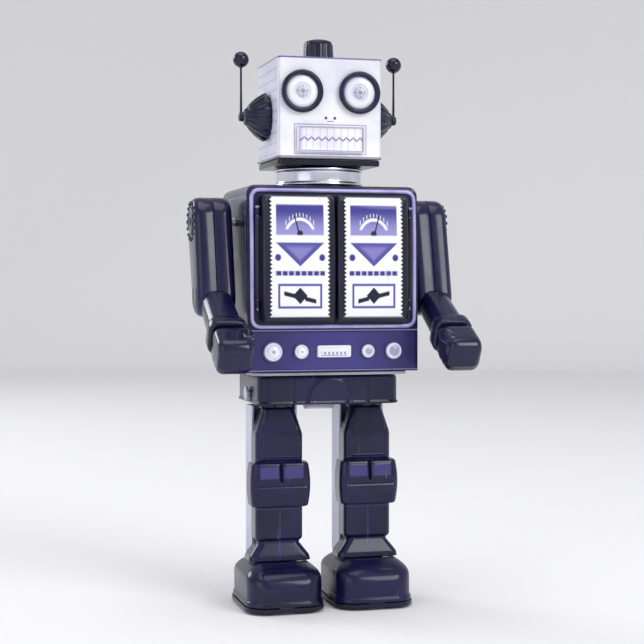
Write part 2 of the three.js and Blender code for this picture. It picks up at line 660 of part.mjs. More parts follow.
function arm(side, word) {
  const group = new THREE.Group();
  group.position.set(side * ARM_X, 0, SHOULDER_Z);
  const half = ARM_W / 2;
  const link = SHOULDER_Z - LINK_Z;
  const slotHalf = LINK_R + LINK_CLEAR;

  // the shaft turns in the torso's side; its fork is moved by the pin on the leg's lever
  const inner = FORK_X - ARM_X;
  const shaft = cut(
    join(
      bar("x", SHAFT_R, ...span(side, inner, -half + 5), 0, 0, 12),
      sheet(stadium(0, 0, 5, 0, -link, 4.4), "x", ...span(side, inner, inner + PLATE)),
      bar("x", SHAFT_R + 1.5, ...span(side, TORSO_W / 2 - ARM_X - 2.3, TORSO_W / 2 - ARM_X - 1.3), 0, 0, 12),
    ),
    block(...span(side, inner - 1, inner + PLATE + 1), -slotHalf, slotHalf, -link - 6, -link + 2.2),
  );
  group.add(piece(`${word}_arm_shaft`, shaft, steel));

  const tilt = THREE.MathUtils.degToRad(ARM_TILT);
  const elbow = [-UPPER_ARM * Math.sin(tilt), -UPPER_ARM * Math.cos(tilt)];
  const socket = bar("x", SHAFT_R + RUN, ...span(side, -half - 1, -half + 5 + GAP), 0, 0, 12);
  const shoulder = cut(
    join(
      cushion(stadium(0, 0, SHOULDER_R, ...elbow, ELBOW_R), -half, half, 2.4),
      bar("x", SHOULDER_R - 3.6, ...span(side, half - 1, half + 0.7), 0, 0, 20),
    ),
    socket,
  );
  group.add(piece(`${word}_upper_arm`, shoulder, plastic));

  const place = (solid) => solid.rotate([-ARM_TILT - ELBOW_BEND, 0, 0]).translate([0, ...elbow]);
  const forearm = cut(
    join(
      cushion(stadium(0, 0, FOREARM_R, 0, -FOREARM + 5, FOREARM_R + 0.4), -half + 0.6, half - 0.6, 2),
      cushion(
        roundedRectangle(2 * CUFF_R, CUFF_W, 1.5, 0, -FOREARM + CUFF_W / 2), -half, half, 1,
      ),
    ),
    bar("x", ELBOW_R + GAP, -half - 1, half + 1, 0, 0, 20),
    block(-half - 1, half + 1, -12, 12, -FOREARM - 12, -FOREARM),
  );
  group.add(piece(`${word}_forearm`, place(forearm), plastic));

  const fist = join(
    cushion(roundedRectangle(15, HAND, 4, 0, -FOREARM - GAP - HAND / 2), -7, 7, 2.4),
    cushion(stadium(-5, -FOREARM - 5, 3, -7.2, -FOREARM - 12, 2.6), ...span(side, -8.2, -3.4), 1),
  );
  const between = [0, 1, 2].map((i) =>
    block(-8, 8, 1.8, 9, -FOREARM - 5.9 - i * 4, -FOREARM - 5.3 - i * 4),
  );
  group.add(piece(`${word}_hand`, place(cut(fist, ...between)), plastic));
  return group;
}

// ---------------------------------------------------------------- legs, in a group on the hip's axis

/** A closed outline, symmetric about x = 0, from [half width, height] points listed upwards. */
function symmetric(points, u = 0) {
  const outline = [
    ...points.map(([w, h]) => new THREE.Vector2(u + w, h)),
    ...points.map(([w, h]) => new THREE.Vector2(u - w, h)).reverse(),
  ];
  return new THREE.Shape(outline);
}

/** A leg in the hip's own place: z is the height over the floor less HIP_Z. */
function leg(side, word) {
  const group = new THREE.Group();
  group.position.set(side * LEG_X, 0, HIP_Z);
  const floor = -HIP_Z;
  const foot = LEG_Z + floor;
  const top = LEG_TOP + floor;
  const half = LEG_W / 2;

  const link = LINK_Z - HIP_Z;
  const crank = CRANK_Z - HIP_Z;
  const windowY = 2 * THROW + CRANK_PIN_R + GAP;
  const windowZ = THROW + CRANK_PIN_R + GAP;
  const plate = PLATE / 2;
  const lever = join(
    sheet(stadium(0, 0, HIP_EAR_R, 0, link, 3.4), "x", -plate, plate),
    sheet(roundedRectangle(2 * windowY + 5, 2 * windowZ + 6, 3, 0, crank), "x", -plate, plate),
    block(-plate, plate, 0.2, LEG_CHANNEL_D - 0.5, foot + 20, 0),
    bar("x", 3, -7.5, 7.5, 0, 0, 14),
    cut(
      block(-half + 0.4, half - 0.4, GAP / 2, LEG_CHANNEL_D, foot, top),
      block(-half + 0.4 + TIN, half - 0.4 - TIN, -1, LEG_CHANNEL_D - TIN, foot - 1, top + 1),
    ),
    bar("x", LINK_R, ...span(side, 0, FORK_X - LEG_X + PLATE + 1.5), 0, link, 10),
  );
  const opened = cut(
    lever,
    sheet(roundedRectangle(2 * windowY, 2 * windowZ, 0.8, 0, crank), "x", -2, 2, 2),
    bar("x", HIP_R + RUN, -10, 10, 0, 0, 12),
  );
  group.add(piece(`${word}_leg_lever`, opened, silver));

  // the shell: flared foot, ankle facet, shin, thigh that narrows to the hip
  const outline = (inset) => symmetric([
    [13.4 - inset, foot], [13 - inset, foot + 2], [8.6 - inset, foot + 7.5], [half - inset, foot + 9],
    [half - inset, -17], [half - 3.6 - inset, top],
  ]);
  const profile = (inset) => {
    const front = -LEG_SHELL_D + inset;
    return new THREE.Shape([
      [2, foot], [2, top], [front + 1.6, top], [front, -17], [front, foot + 9], [front + 1.2, foot + 7.5],
      [front - 1.2, foot + 2], [front - 1.4, foot],
    ].map(([y, z]) => new THREE.Vector2(y, z)));
  };
  const solid = (inset) =>
    sheet(outline(inset), "y", -20, -GAP / 2).intersect(sheet(profile(inset), "x", -20, 20));
  const shell = cut(
    solid(0),
    solid(TIN + 0.2).add(block(-half + 2, half - 2, -half + 2, 1, foot - 1, foot + 3)),
    block(-half + 2, half - 2, -half + 3, 1, top - 3, top + 1),
  );
  group.add(piece(`${word}_leg_shell`, shell, navy));

  const knee = KNEE_Z + floor;
  const inside = half + GAP;
  const back = -LEG_SHELL_D + 7;
  const bulge = new THREE.Shape();
  bulge.moveTo(back, knee - KNEE_H / 2);
  bulge.lineTo(-LEG_SHELL_D - 2.2, knee - KNEE_H / 2);
  bulge.quadraticCurveTo(
    -LEG_SHELL_D - GAP - KNEE_D - 1.4, knee, -LEG_SHELL_D - 2.2, knee + KNEE_H / 2,
  );
  bulge.lineTo(back, knee + KNEE_H / 2);
  bulge.closePath();
  const guard = cut(
    sheet(bulge, "x", -KNEE_W / 2, KNEE_W / 2).intersect(
      sheet(roundedRectangle(KNEE_W, 30, 3.4, 0, -LEG_SHELL_D - KNEE_D - 1 + 15), "z", knee - 20, knee + 20, 4),
    ),
    block(-inside, inside, -LEG_SHELL_D - GAP, 20, knee - 20, knee + 20),
    block(-0.6, 0.6, -30, -LEG_SHELL_D - GAP - 2.6, knee + 2, knee + KNEE_H),
  );
  group.add(piece(`${word}_knee_guard`, guard, navy));
  group.add(shoe(word, floor));
  return group;
}

/** A shoe, its sole with the axle brackets, and two rollers, with the hip's line at y = 0. */
function shoe(word, floor) {
  const group = new THREE.Group();
  const long = SHOE_FRONT + SHOE_BACK;
  const [low, high] = [SHOE_Z + floor, SHOE_TOP + floor];
  const loaf = (inset) => {
    const plan = roundedRectangle(SHOE_W - 2 * inset, long - 2 * inset, 9 - inset, 0, SHOE_MID);
    const side = new THREE.Shape();
    const [front, back, top] = [-SHOE_FRONT + inset, SHOE_BACK - inset, high - inset];
    side.moveTo(back, low);
    side.lineTo(back, top - 7);
    side.quadraticCurveTo(back, top, back - 7, top);
    side.lineTo(front + 13, top);
    side.quadraticCurveTo(front, top, front, top - 10);
    side.lineTo(front, low);
    side.closePath();
    const end = symmetric([
      [SHOE_W / 2 - inset, low], [SHOE_W / 2 - inset, top - 6], [SHOE_W / 2 - 1.8 - inset, top - 2.4],
      [SHOE_W / 2 - 5.4 - inset, top],
    ]);
    return sheet(plan, "z", low, high + 1, 5)
      .intersect(sheet(side, "x", -SHOE_W, SHOE_W, 5))
      .intersect(sheet(end, "y", -SHOE_FRONT - 5, SHOE_BACK + 5));
  };
  const under = block(-SHOE_W, SHOE_W, -SHOE_FRONT - 5, SHOE_BACK + 5, low - 5, low + 0.01);
  group.add(piece(`${word}_shoe`, cut(loaf(0), loaf(1.2), under), navy));

  const sole = SOLE_Z + floor;
  const axle = ROLLER_Z + floor;
  const ends = [-1, 1].map((end) => SHOE_MID + end * ROLLER_REACH);
  const wall = ROLLER_W / 2 + GAP;
  const brackets = ends.flatMap((y) =>
    [RIGHT, LEFT].map((s) => block(...span(s, wall, wall + 1.4), y - 2.6, y + 2.6, sole, axle + 2.6)),
  );
  const wells = ends.map((y) => block(-wall, wall, y - ROLLER_R - 0.6, y + ROLLER_R + 0.6, sole - 1, sole + 9));
  const holes = ends.map((y) => bar("x", AXLE_R + GAP, -8, 8, y, axle, 12));
  const bottom = cut(
    join(
      sheet(roundedRectangle(SHOE_W + 1, long + 1, 9.4, 0, SHOE_MID), "z", sole, sole + SOLE_T, 6),
      ...brackets,
    ),
    ...wells,
    ...holes,
  );
  group.add(piece(`${word}_sole`, bottom, ink));

  ["front", "rear"].forEach((which, i) => {
    const roller = join(
      bar("x", ROLLER_R, -ROLLER_W / 2, ROLLER_W / 2, ends[i], axle, ROLLER_SIDES),
      bar("x", AXLE_R, -wall - 2, wall + 2, ends[i], axle, 12),
    );
    group.add(piece(`${word}_${which}_roller`, roller, steel));
  });
  return group;
}

// ---------------------------------------------------------------- clockwork

/** A toothed ring whose teeth point forward (-Y), made of one wedge turned round the axis. */
function crownTeeth(radius, face, teeth, tip, root) {
  const wedge = new THREE.Shape([
    new THREE.Vector2(-0.3, tip),
    new THREE.Vector2(0.3, tip),
    new THREE.Vector2(0.48, root + 0.1),
    new THREE.Vector2(-0.48, root + 0.1),
  ]);
  const tooth = new THREE.ExtrudeGeometry(wedge, { depth: face, bevelEnabled: false });
  tooth.rotateY(Math.PI / 2); // drawn across Z now, and deep along X
  tooth.translate(radius - face / 2, 0, 0);
  return Array.from({ length: teeth }, (_, i) =>
    solidOf(tooth.clone().rotateY((i * 2 * Math.PI) / teeth)).translate([0, 0, CRANK_Z]),
  );
}

function wheels() {
  const group = new THREE.Group();
  const hub = (radius, from, to, z) => bar("y", radius, from, to, 0, z, 14);

  const great = cut(
    join(
      gear("y", RIM_TEETH, RIM_MODULE, WHEEL_Y, WHEEL_Y + WHEEL_T, 0, CRANK_Z),
      hub(2.6, WHEEL_Y - 1.2, WHEEL_Y + WHEEL_T + 0.9, CRANK_Z),
      ...crownTeeth(CROWN_R, CROWN_FACE, CROWN_TEETH, CROWN_Y - 0.75 * CROWN_MODULE, WHEEL_Y),
    ),
    hub(ARBOR_R + RUN, 0, TORSO_D, CRANK_Z),
    ...[0, 1, 2, 3].map((i) =>
      bar("y", 2.1, 0, 20, 6.2 * Math.cos((i * Math.PI) / 2), CRANK_Z + 6.2 * Math.sin((i * Math.PI) / 2), 12),
    ),
  );
  group.add(piece("great_wheel", great, brass));

  // the crankshaft: a pinion under the crown teeth, two discs, and a pin on each, one up and one down
  const discFrom = CHEEK_X + PLATE + GAP + 0.2;
  const crankEnd = LEG_X + PLATE / 2 + 0.5;
  const crank = join(
    bar("x", CRANK_R, -discFrom - 0.5, discFrom + 0.5, 0, CRANK_Z, 14),
    gear(
      "x", CRANK_TEETH, CROWN_MODULE, CROWN_R - CROWN_FACE / 2, CROWN_R + CROWN_FACE / 2,
      0, CRANK_Z, Math.PI / CRANK_TEETH,
    ),
    ...[RIGHT, LEFT].flatMap((side) => [
      bar("x", DISC_R, ...span(side, discFrom, discFrom + DISC_T), 0, CRANK_Z, 20),
      bar("x", CRANK_PIN_R, ...span(side, discFrom + 0.5, crankEnd), 0, CRANK_Z - side * THROW, 10),
    ]),
  );
  group.add(piece("crankshaft", crank, steel));

  const second = join(
    hub(ARBOR_R, FRONT_PLATE_Y - PLATE - 0.5, BACK_PLATE_Y + PLATE + 0.5, SECOND_Z),
    gear(
      "y", SECOND_PINION_TEETH, RIM_MODULE, WHEEL_Y - 0.2, WHEEL_Y + WHEEL_T + 0.2,
      0, SECOND_Z, Math.PI / 18,
    ),
    gear("y", SECOND_TEETH, SECOND_MODULE, -2, -0.8, 0, SECOND_Z),
  );
  group.add(piece("intermediate_wheel", second, brass));

  const fly = join(
    hub(ARBOR_R * 0.8, FRONT_PLATE_Y - PLATE - 0.5, BACK_PLATE_Y + PLATE + 1.8, FLY_Z),
    gear("y", FLY_PINION_TEETH, SECOND_MODULE, -2.2, -0.6, 0, FLY_Z, Math.PI / 8),
    cut(
      hub(7, 2, 8, FLY_Z),
      cut(hub(5.6, 4, 9, FLY_Z), hub(2, 0, 10, FLY_Z)),
    ),
  );
  group.add(piece("governor", fly, steel));
  return group;
}

function motor() {
  const group = new THREE.Group();
  const outer = CHEEK_X + PLATE;
  const low = TORSO_Z + 1.5;
  const high = FLY_Z + 9;
  const back = BACK_PLATE_Y - GAP;
  const hole = (radius, z) => bar("y", radius + RUN, -TORSO_D, TORSO_D, 0, z, 12);
  const frame = cut(
    join(
      block(-outer, outer, FRONT_PLATE_Y - PLATE, FRONT_PLATE_Y, low, high),
      block(-outer, -CHEEK_X, FRONT_PLATE_Y - PLATE, back, low, CRANK_Z + 8),
      block(CHEEK_X, outer, FRONT_PLATE_Y - PLATE, back, low, CRANK_Z + 8),
      block(-outer, outer, FRONT_PLATE_Y - PLATE, back, low, low + PLATE),
      block(-3.5, 3.5, CRANK_R + GAP, CRANK_R + GAP + 0.8, low, CRANK_Z + 5),
    ),
    bar("x", CRANK_R + RUN, -outer - 1, outer + 1, 0, CRANK_Z, 14),
    bar("y", ARBOR_R + RUN, 0, BACK_PLATE_Y, 0, CRANK_Z, 12),
    hole(ARBOR_R, SECOND_Z),
    hole(ARBOR_R * 0.8, FLY_Z),
    bar("y", 6.5, -TORSO_D, 0, 0, CRANK_Z, 24),
    bar("y", 3.2, -TORSO_D, 0, -8.4, FLY_Z, 18),
    bar("y", 3.2, -TORSO_D, 0, 8.4, FLY_Z, 18),
  );
  group.add(piece("motor_frame", frame, steel));

  const plate = cut(
    block(-outer, outer, BACK_PLATE_Y, BACK_PLATE_Y + PLATE, low, high),
    hole(ARBOR_R, SECOND_Z),
    hole(ARBOR_R * 0.8, FLY_Z),
    bar("y", ARBOR_R + RUN, BACK_PLATE_Y - 1, BACK_PLATE_Y + 2 * PLATE, 0, CRANK_Z, 12),
  );
  group.add(piece("motor_back_plate", plate, steel));

  // the spring is a flat spiral band round the arbor
  const band = 0.5;
  const steps = 18 * SPRING_TURNS;
  const spiral = (offset) =>
    Array.from({ length: steps + 1 }, (_, i) => {
      const a = (i / steps) * SPRING_TURNS * 2 * Math.PI;
      const r = 3 + offset + ((SPRING_R - band - 3) * i) / steps;
      return new THREE.Vector2(r * Math.cos(a), CRANK_Z + r * Math.sin(a));
    });
  const coil = new THREE.Shape([...spiral(0), ...spiral(band).reverse()]);
  group.add(piece("mainspring", sheet(coil, "y", 7.6, 15.4), steel));

  // the key, with its shaft through the spring
  const bow = (z) => {
    const lobe = new THREE.Shape();
    lobe.absellipse(KEY_Y + 6.2, z, 6.4, 7, 0, 2 * Math.PI);
    const hole = new THREE.Path();
    hole.absellipse(KEY_Y + 6.6, z, 3.4, 3.8, 0, 2 * Math.PI);
    lobe.holes.push(hole);
    return sheet(lobe, "x", -0.8, 0.8, 12);
  };
  const key = join(
    bar("y", ARBOR_R, CRANK_R + GAP, KEY_Y, 0, CRANK_Z, 12),
    bar("y", 2.2, TORSO_D / 2 + 2.4, KEY_Y + 6, 0, CRANK_Z, 14),
    block(-0.8, 0.8, KEY_Y, KEY_Y + 5, CRANK_Z - 4, CRANK_Z + 4),
    bow(CRANK_Z - 8.6),
    bow(CRANK_Z + 8.6),
  );
  group.add(piece("winding_key", key, silver));

  const face = TORSO_D / 2 + GAP + 2 * TIN + GAP;
  const stop = join(
    block(-3.5, -0.5, BACK_PLATE_Y + PLATE + 2.1, face + 2, FLY_Z - 1, FLY_Z + 1),
    block(-4.5, 0.5, TORSO_D / 2 - 1, TORSO_D / 2 - 0.2, FLY_Z - 2.6, FLY_Z + 2.6),
    block(-5, 1, face, face + 1.2, FLY_Z - 3.2, FLY_Z + 3.2),
    block(-2.6, -1.4, face, face + 3, FLY_Z - 3, FLY_Z + 3),
  );
  group.add(piece("stop_lever", stop, steel));
  return group;
}

// ---------------------------------------------------------------- the robot

const robot = new THREE.Group();
robot.add(
  torso(), door(RIGHT, "right"), door(LEFT, "left"), head(),
  arm(RIGHT, "right"), arm(LEFT, "left"), leg(RIGHT, "right"), leg(LEFT, "left"),
  wheels(), motor(),
);
// the hip line is midway front to back until the arms and the key are counted
robot.position.y = -new THREE.Box3().setFromObject(robot).getCenter(new THREE.Vector3()).y;

export default robot;
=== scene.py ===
"""The wind-up tin robot: pressed and lithographed shells over its clockwork.

Shapes are worked out in millimetres with y = 0 on the hip line, as in the part's own drawing, and are
turned into metres in the row's frame when they are put into a mesh. x runs to the robot's left, y to its
back and z up.
"""
import math

import bmesh
import bpy
import numpy as np
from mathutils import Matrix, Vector


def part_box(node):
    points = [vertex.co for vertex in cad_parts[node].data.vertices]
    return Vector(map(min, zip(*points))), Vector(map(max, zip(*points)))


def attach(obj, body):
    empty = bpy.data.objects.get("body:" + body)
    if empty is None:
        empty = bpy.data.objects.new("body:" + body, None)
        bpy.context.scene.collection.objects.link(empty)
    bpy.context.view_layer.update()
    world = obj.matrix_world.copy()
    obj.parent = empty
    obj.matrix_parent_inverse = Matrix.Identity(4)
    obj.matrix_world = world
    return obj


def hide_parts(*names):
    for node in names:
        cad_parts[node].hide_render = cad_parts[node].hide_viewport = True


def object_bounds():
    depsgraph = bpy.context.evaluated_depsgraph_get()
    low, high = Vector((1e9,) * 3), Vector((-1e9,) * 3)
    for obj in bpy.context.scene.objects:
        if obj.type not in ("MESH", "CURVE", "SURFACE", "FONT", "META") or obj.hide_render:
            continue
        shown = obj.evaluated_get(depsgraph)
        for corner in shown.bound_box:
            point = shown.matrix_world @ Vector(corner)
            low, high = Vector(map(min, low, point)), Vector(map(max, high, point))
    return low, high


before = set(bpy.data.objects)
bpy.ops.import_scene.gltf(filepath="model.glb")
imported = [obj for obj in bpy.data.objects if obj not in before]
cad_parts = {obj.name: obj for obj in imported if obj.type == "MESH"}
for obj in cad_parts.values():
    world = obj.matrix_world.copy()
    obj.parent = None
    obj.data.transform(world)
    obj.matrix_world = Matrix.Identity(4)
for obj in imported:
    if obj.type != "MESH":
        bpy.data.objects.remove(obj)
CAD_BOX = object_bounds()

MM = 0.001
HIP_Y = sum(corner.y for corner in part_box("hip_axle")) / 2
HIP = np.array([0, HIP_Y, 0])
RIGHT, LEFT = -1, 1
SIDES = ((RIGHT, "right"), (LEFT, "left"))
TAU = 2 * math.pi
AXIS = 0.01  # a radius that stands for an axis, small enough to look like a point and still close
LEG_X, ARM_X = 19.3, 47.2  # the middles of the legs and of the arms, out from the middle plane
SHOULDER_Z = 162.5
ELBOW = np.array([0, -9.1, 130.8])
FOREARM_TILT = -61  # degrees from hanging straight down
EAR_ROOT = 22.8  # the side of the head, where an ear cup starts
HINGE_X, HINGE_Y = 32.45, -26.45
KEY_Z = 122  # the height of the key hole in the back
LENS_MM, SENSOR_MM = 85, 36
CHEST_HEIGHT = 0.12  # metres, where the lights aim
SAME_POINT = 1e-4  # millimetres, under which two rows' points are one


def box_mm(node):
    """A node's lowest corner, highest corner, middle and size in millimetres, with y from the hip line."""
    low, high = ((np.array(corner) - HIP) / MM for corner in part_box(node))
    return low, high, (low + high) / 2, high - low


# ---------------- camera, light and floor

def add_camera():
    """A long lens at the robot's middle height, a little to its right."""
    low, high = CAD_BOX
    centre = (low + high) / 2
    azimuth, elevation = math.radians(-15), math.radians(1.5)
    level = math.cos(elevation)
    back = Vector((math.sin(azimuth) * level, -math.cos(azimuth) * level, math.sin(elevation)))
    camera = bpy.data.objects.new("camera", bpy.data.cameras.new("camera"))
    camera.data.lens = LENS_MM
    camera.data.sensor_width = SENSOR_MM
    seen = (high.z - low.z) * 1.14
    camera.location = centre + back * (seen * LENS_MM / SENSOR_MM)
    camera.rotation_euler = (-back).to_track_quat("-Z", "Y").to_euler()
    bpy.context.scene.collection.objects.link(camera)
    bpy.context.scene.camera = camera


def add_light(name, place, size, power, colour=(1, 1, 1)):
    """A square soft box that looks at the robot's chest."""
    data = bpy.data.lights.new(name, "AREA")
    data.size, data.energy, data.color = size, power, colour
    light = bpy.data.objects.new(name, data)
    light.location = place
    aim = Vector((0, 0, CHEST_HEIGHT)) - Vector(place)
    light.rotation_euler = aim.to_track_quat("-Z", "Y").to_euler()
    bpy.context.scene.collection.objects.link(light)


def add_stage():
    """A pale round floor that curves up on all sides: its height is a smooth step of the distance out."""
    sides, rings, wall = 96, 70, 2.4
    turn, out = np.meshgrid(np.arange(sides) * TAU / sides, np.linspace(0.02, 3.4, rings))
    grid = np.stack([out * np.cos(turn), out * np.sin(turn), wall * step_up(out, 1.7, 3.2)], -1)
    points, quads, fans = surface(grid, ends=(True, False))
    mesh = bpy.data.meshes.new("studio_floor")
    mesh.from_pydata(points.tolist(), [], quads[:, ::-1].tolist() + fans[:, ::-1].tolist())
    mesh.polygons.foreach_set("use_smooth", np.ones(len(mesh.polygons), bool))
    floor = bpy.data.objects.new("studio_floor", mesh)
    bpy.context.scene.collection.objects.link(floor)
    paint = Paint("studio_paper", specular=0.2)
    mottle = paint.noise(6, detail=2) * 0.012
    paint.finish(paint.blend(mottle, (0.92, 0.92, 0.93), (0.87, 0.87, 0.89)), rough=0.9)
    mesh.materials.append(paint.material)


# ---------------- shader maths

class Value:
    """A socket that takes part in arithmetic: each operator adds its Math node."""

    def __init__(self, paint, socket):
        self.paint, self.socket = paint, socket

    def math(self, operation, *others):
        node = self.paint.node("ShaderNodeMath", {"operation": operation}, **{
            f"in{i}": value for i, value in enumerate((self, *others))
        })
        return Value(self.paint, node.outputs[0])

    def __rsub__(self, other):
        return (self * -1) + other

    def abs(self):
        return self.math("ABSOLUTE")

    def root(self):
        return self.math("SQRT")

    def every(self, step):
        """The distance from the nearest multiple of a step."""
        return self.math("PINGPONG", step / 2)

    def smooth(self, low, high):
        """0 below low and 1 above high, with a smooth step between; high may be the lower one."""
        node = self.paint.node(
            "ShaderNodeMapRange", {"interpolation_type": "SMOOTHSTEP"},
            in0=self, in1=low, in2=high, in3=0.0, in4=1.0,
        )
        return Value(self.paint, node.outputs[0])


for method, operation in {
    "__add__": "ADD", "__radd__": "ADD", "__sub__": "SUBTRACT", "__mul__": "MULTIPLY", "__rmul__": "MULTIPLY",
    "__truediv__": "DIVIDE", "min": "MINIMUM", "max": "MAXIMUM",
}.items():
    setattr(Value, method, lambda self, other, operation=operation: self.math(operation, other))


class Paint:
    """A material being mixed: Object coordinates in millimetres, patterns, colours and a finish."""

    def __init__(self, name, specular=0.5, coat_rough=0.08):
        self.material = bpy.data.materials.new(name)
        self.material.use_nodes = True
        self.tree = self.material.node_tree
        self.tree.nodes.clear()
        self.shader = self.tree.nodes.new("ShaderNodeBsdfPrincipled")
        output = self.tree.nodes.new("ShaderNodeOutputMaterial")
        self.tree.links.new(self.shader.outputs[0], output.inputs["Surface"])
        self.shader.inputs["Specular IOR Level"].default_value = specular
        self.shader.inputs["Coat Roughness"].default_value = coat_rough
        self.coordinates = self.tree.nodes.new("ShaderNodeTexCoord").outputs["Object"]

    def feed(self, socket, value):
        """Links a value to a socket or sets it there; a colour gets its alpha."""
        if isinstance(value, Value):
            value = value.socket
        if isinstance(value, bpy.types.NodeSocket):
            self.tree.links.new(value, socket)
        else:
            colour = isinstance(value, tuple) and socket.type == "RGBA"
            socket.default_value = (*value, 1) if colour else value

    def node(self, kind, settings=None, **inputs):
        """A node with its settings made first, then its sockets by place (in0, in1, ...)."""
        node = self.tree.nodes.new(kind)
        for key, value in (settings or {}).items():
            setattr(node, key, value)
        for key, value in inputs.items():
            self.feed(node.inputs[int(key[2:])], value)
        return node

    def place(self):
        """x, y and z in millimetres, y from the hip line."""
        split = self.node("ShaderNodeSeparateXYZ", in0=self.coordinates)
        x, y, z = (Value(self, socket) * (1 / MM) for socket in split.outputs)
        return x, y - HIP_Y / MM, z

    def noise(self, scale, detail=3.0, stretch=None, rough=0.55):
        """Noise with a number of lumps to the metre, about 0.5 all over."""
        where = self.coordinates
        if stretch:
            where = self.node("ShaderNodeMapping", in0=where, in3=stretch).outputs[0]
        node = self.node("ShaderNodeTexNoise", in0=where, in2=float(scale), in3=float(detail), in4=rough)
        return Value(self, node.outputs["Fac"])

    def cells(self, scale):
        """The distance to the nearest of scattered points."""
        node = self.node("ShaderNodeTexVoronoi", in0=self.coordinates, in2=float(scale))
        return Value(self, node.outputs["Distance"])

    def blend(self, mask, first, second):
        """The first colour where the mask is 0, the second where it is 1."""
        node = self.node("ShaderNodeMix", {"data_type": "RGBA"}, in0=mask, in6=first, in7=second)
        return Value(self, node.outputs[2])

    def layers(self, colour, *printed):
        """A colour with each (mask, ink) printed over it in turn."""
        for mask, ink in printed:
            colour = self.blend(mask, colour, ink)
        return colour

    def finish(self, colour, rough, metal=0.0, coat=0.0, bump=None, depth=0.0):
        """Feeds the shader; the bump is a height from 0 to 1 and the depth is in millimetres."""
        inputs = {"Base Color": colour, "Roughness": rough, "Metallic": metal, "Coat Weight": coat}
        for name, value in inputs.items():
            self.feed(self.shader.inputs[name], value)
        if bump is not None:
            node = self.node("ShaderNodeBump")
            node.inputs["Strength"].default_value = 1.0
            node.inputs["Distance"].default_value = depth * MM
            self.feed(node.inputs["Height"], bump)
            self.feed(self.shader.inputs["Normal"], node.outputs[0])
        return self.material


def band(value, low, high, soft=0.15):
    """1 where a value is between low and high, with soft edges."""
    return value.smooth(low - soft, low + soft) * value.smooth(high + soft, high - soft)


def patch(u, v, u0, u1, v0, v1, soft=0.15):
    """1 inside a rectangle."""
    return band(u, u0, u1, soft) * band(v, v0, v1, soft)


def line_round(u, v, half, v0, v1, width, soft=0.15):
    """1 on the line of a width just inside a rectangle whose middle is at u = 0."""
    inner = patch(u, v, width - half, half - width, v0 + width, v1 - width, soft)
    return patch(u, v, -half, half, v0, v1, soft) - inner


def disc(u, v, radius, soft=0.15):
    """1 inside a circle round (0, 0)."""
    return (u * u + v * v).root().smooth(radius + soft, radius - soft)


# ---------------- surfaces

def surface(grid, around=True, ends=(False, False)):
    """The points, quads and end fans of a grid, whose rows run along its first index.

    If around, each row is joined round. An end that is closed gets a point at its row's middle and a fan
    of triangles.
    """
    rows, columns = grid.shape[:2]
    points, fans = grid.reshape(-1, 3), [np.zeros((0, 3), int)]
    across = columns if around else columns - 1
    i, j = np.meshgrid(np.arange(rows - 1), np.arange(across), indexing="ij")
    a, b = i * columns + j, i * columns + (j + 1) % columns
    quads = np.stack([a, b, b + columns, a + columns], -1).reshape(-1, 4)
    j = np.arange(columns)
    for closed, row, turn in ((ends[0], 0, 1), (ends[1], rows - 1, -1)):
        if closed:
            points = np.vstack([points, grid[row].mean(0)])
            pair = (row * columns + (j + 1) % columns, row * columns + j)[::turn]
            fans.append(np.stack([*pair, np.full(columns, len(points) - 1)], -1))
    return points, quads, np.concatenate(fans)


def to_row(points):
    """Millimetres from the hip line into metres in the row's frame."""
    return points * MM + HIP


def enclosed(points, quads, fans):
    """The sum over triangles of a . (b x c) / 6, which is negative when the faces point inwards."""
    triangles = np.concatenate([quads[:, [0, 1, 2]], quads[:, [0, 2, 3]], fans])
    a, b, c = points[triangles].transpose(1, 0, 2)
    return float((a * np.cross(b, c)).sum() / 6)


def opened(grid, around=True, ends=(False, False)):
    """A grid for piece that is not closed at its ends."""
    return {"grid": grid, "around": around, "ends": ends}


def piece(name, parts, body, material, node, sharp=38, wall=0.0):
    """One object from one or more grids, riding on a body in the place of a node. Rows that meet are merged.

    A bare grid is joined round with both ends closed.
    """
    points, faces, start = [], [], 0
    for part in parts if isinstance(parts, list) else [parts]:
        part = part if isinstance(part, dict) else opened(part, ends=(True, True))
        spots, quads, fans = surface(to_row(part["grid"]), part["around"], part["ends"])
        inward = not wall and enclosed(spots, quads, fans) < 0
        for sheet in (quads, fans):
            faces += ((sheet[:, ::-1] if inward else sheet) + start).tolist()
        points.append(spots)
        start += len(spots)
    mesh = bpy.data.meshes.new(name)
    mesh.from_pydata(np.vstack(points).tolist(), [], faces)
    merged(mesh, SAME_POINT)
    dress(name, mesh, body, material, node, sharp, wall=wall)


def merged(mesh, distance, flat=None):
    """A mesh's points merged within a distance in millimetres, and its faces made whole below a flat angle."""
    scratch = bmesh.new()
    scratch.from_mesh(mesh)
    bmesh.ops.remove_doubles(scratch, verts=scratch.verts, dist=distance * MM)
    if flat:
        bmesh.ops.dissolve_limit(
            scratch, angle_limit=math.radians(flat), verts=scratch.verts, edges=scratch.edges,
        )
    mesh.clear_geometry()
    scratch.to_mesh(mesh)
    scratch.free()


def dress(name, mesh, body, material, node, sharp, bevel=0.0, wall=0.0):
    """Smooths a mesh but for its sharp edges, thickens it or rounds its edges, and puts it on a body."""
    mesh.polygons.foreach_set("use_smooth", np.ones(len(mesh.polygons), bool))
    mesh.update()
    mesh.set_sharp_from_angle(angle=math.radians(sharp))
    made = bpy.data.objects.new(name, mesh)
    bpy.context.scene.collection.objects.link(made)
    if wall:
        modifier = made.modifiers.new("wall", "SOLIDIFY")
        modifier.thickness, modifier.offset = wall * MM, -1
    if bevel:
        modifier = made.modifiers.new("rounded edges", "BEVEL")
        modifier.width, modifier.segments = bevel * MM, 2
        modifier.limit_method, modifier.angle_limit = "ANGLE", math.radians(sharp)
        modifier.harden_normals = True
    mesh.materials.append(material)
    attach(made, body)
    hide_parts(node)


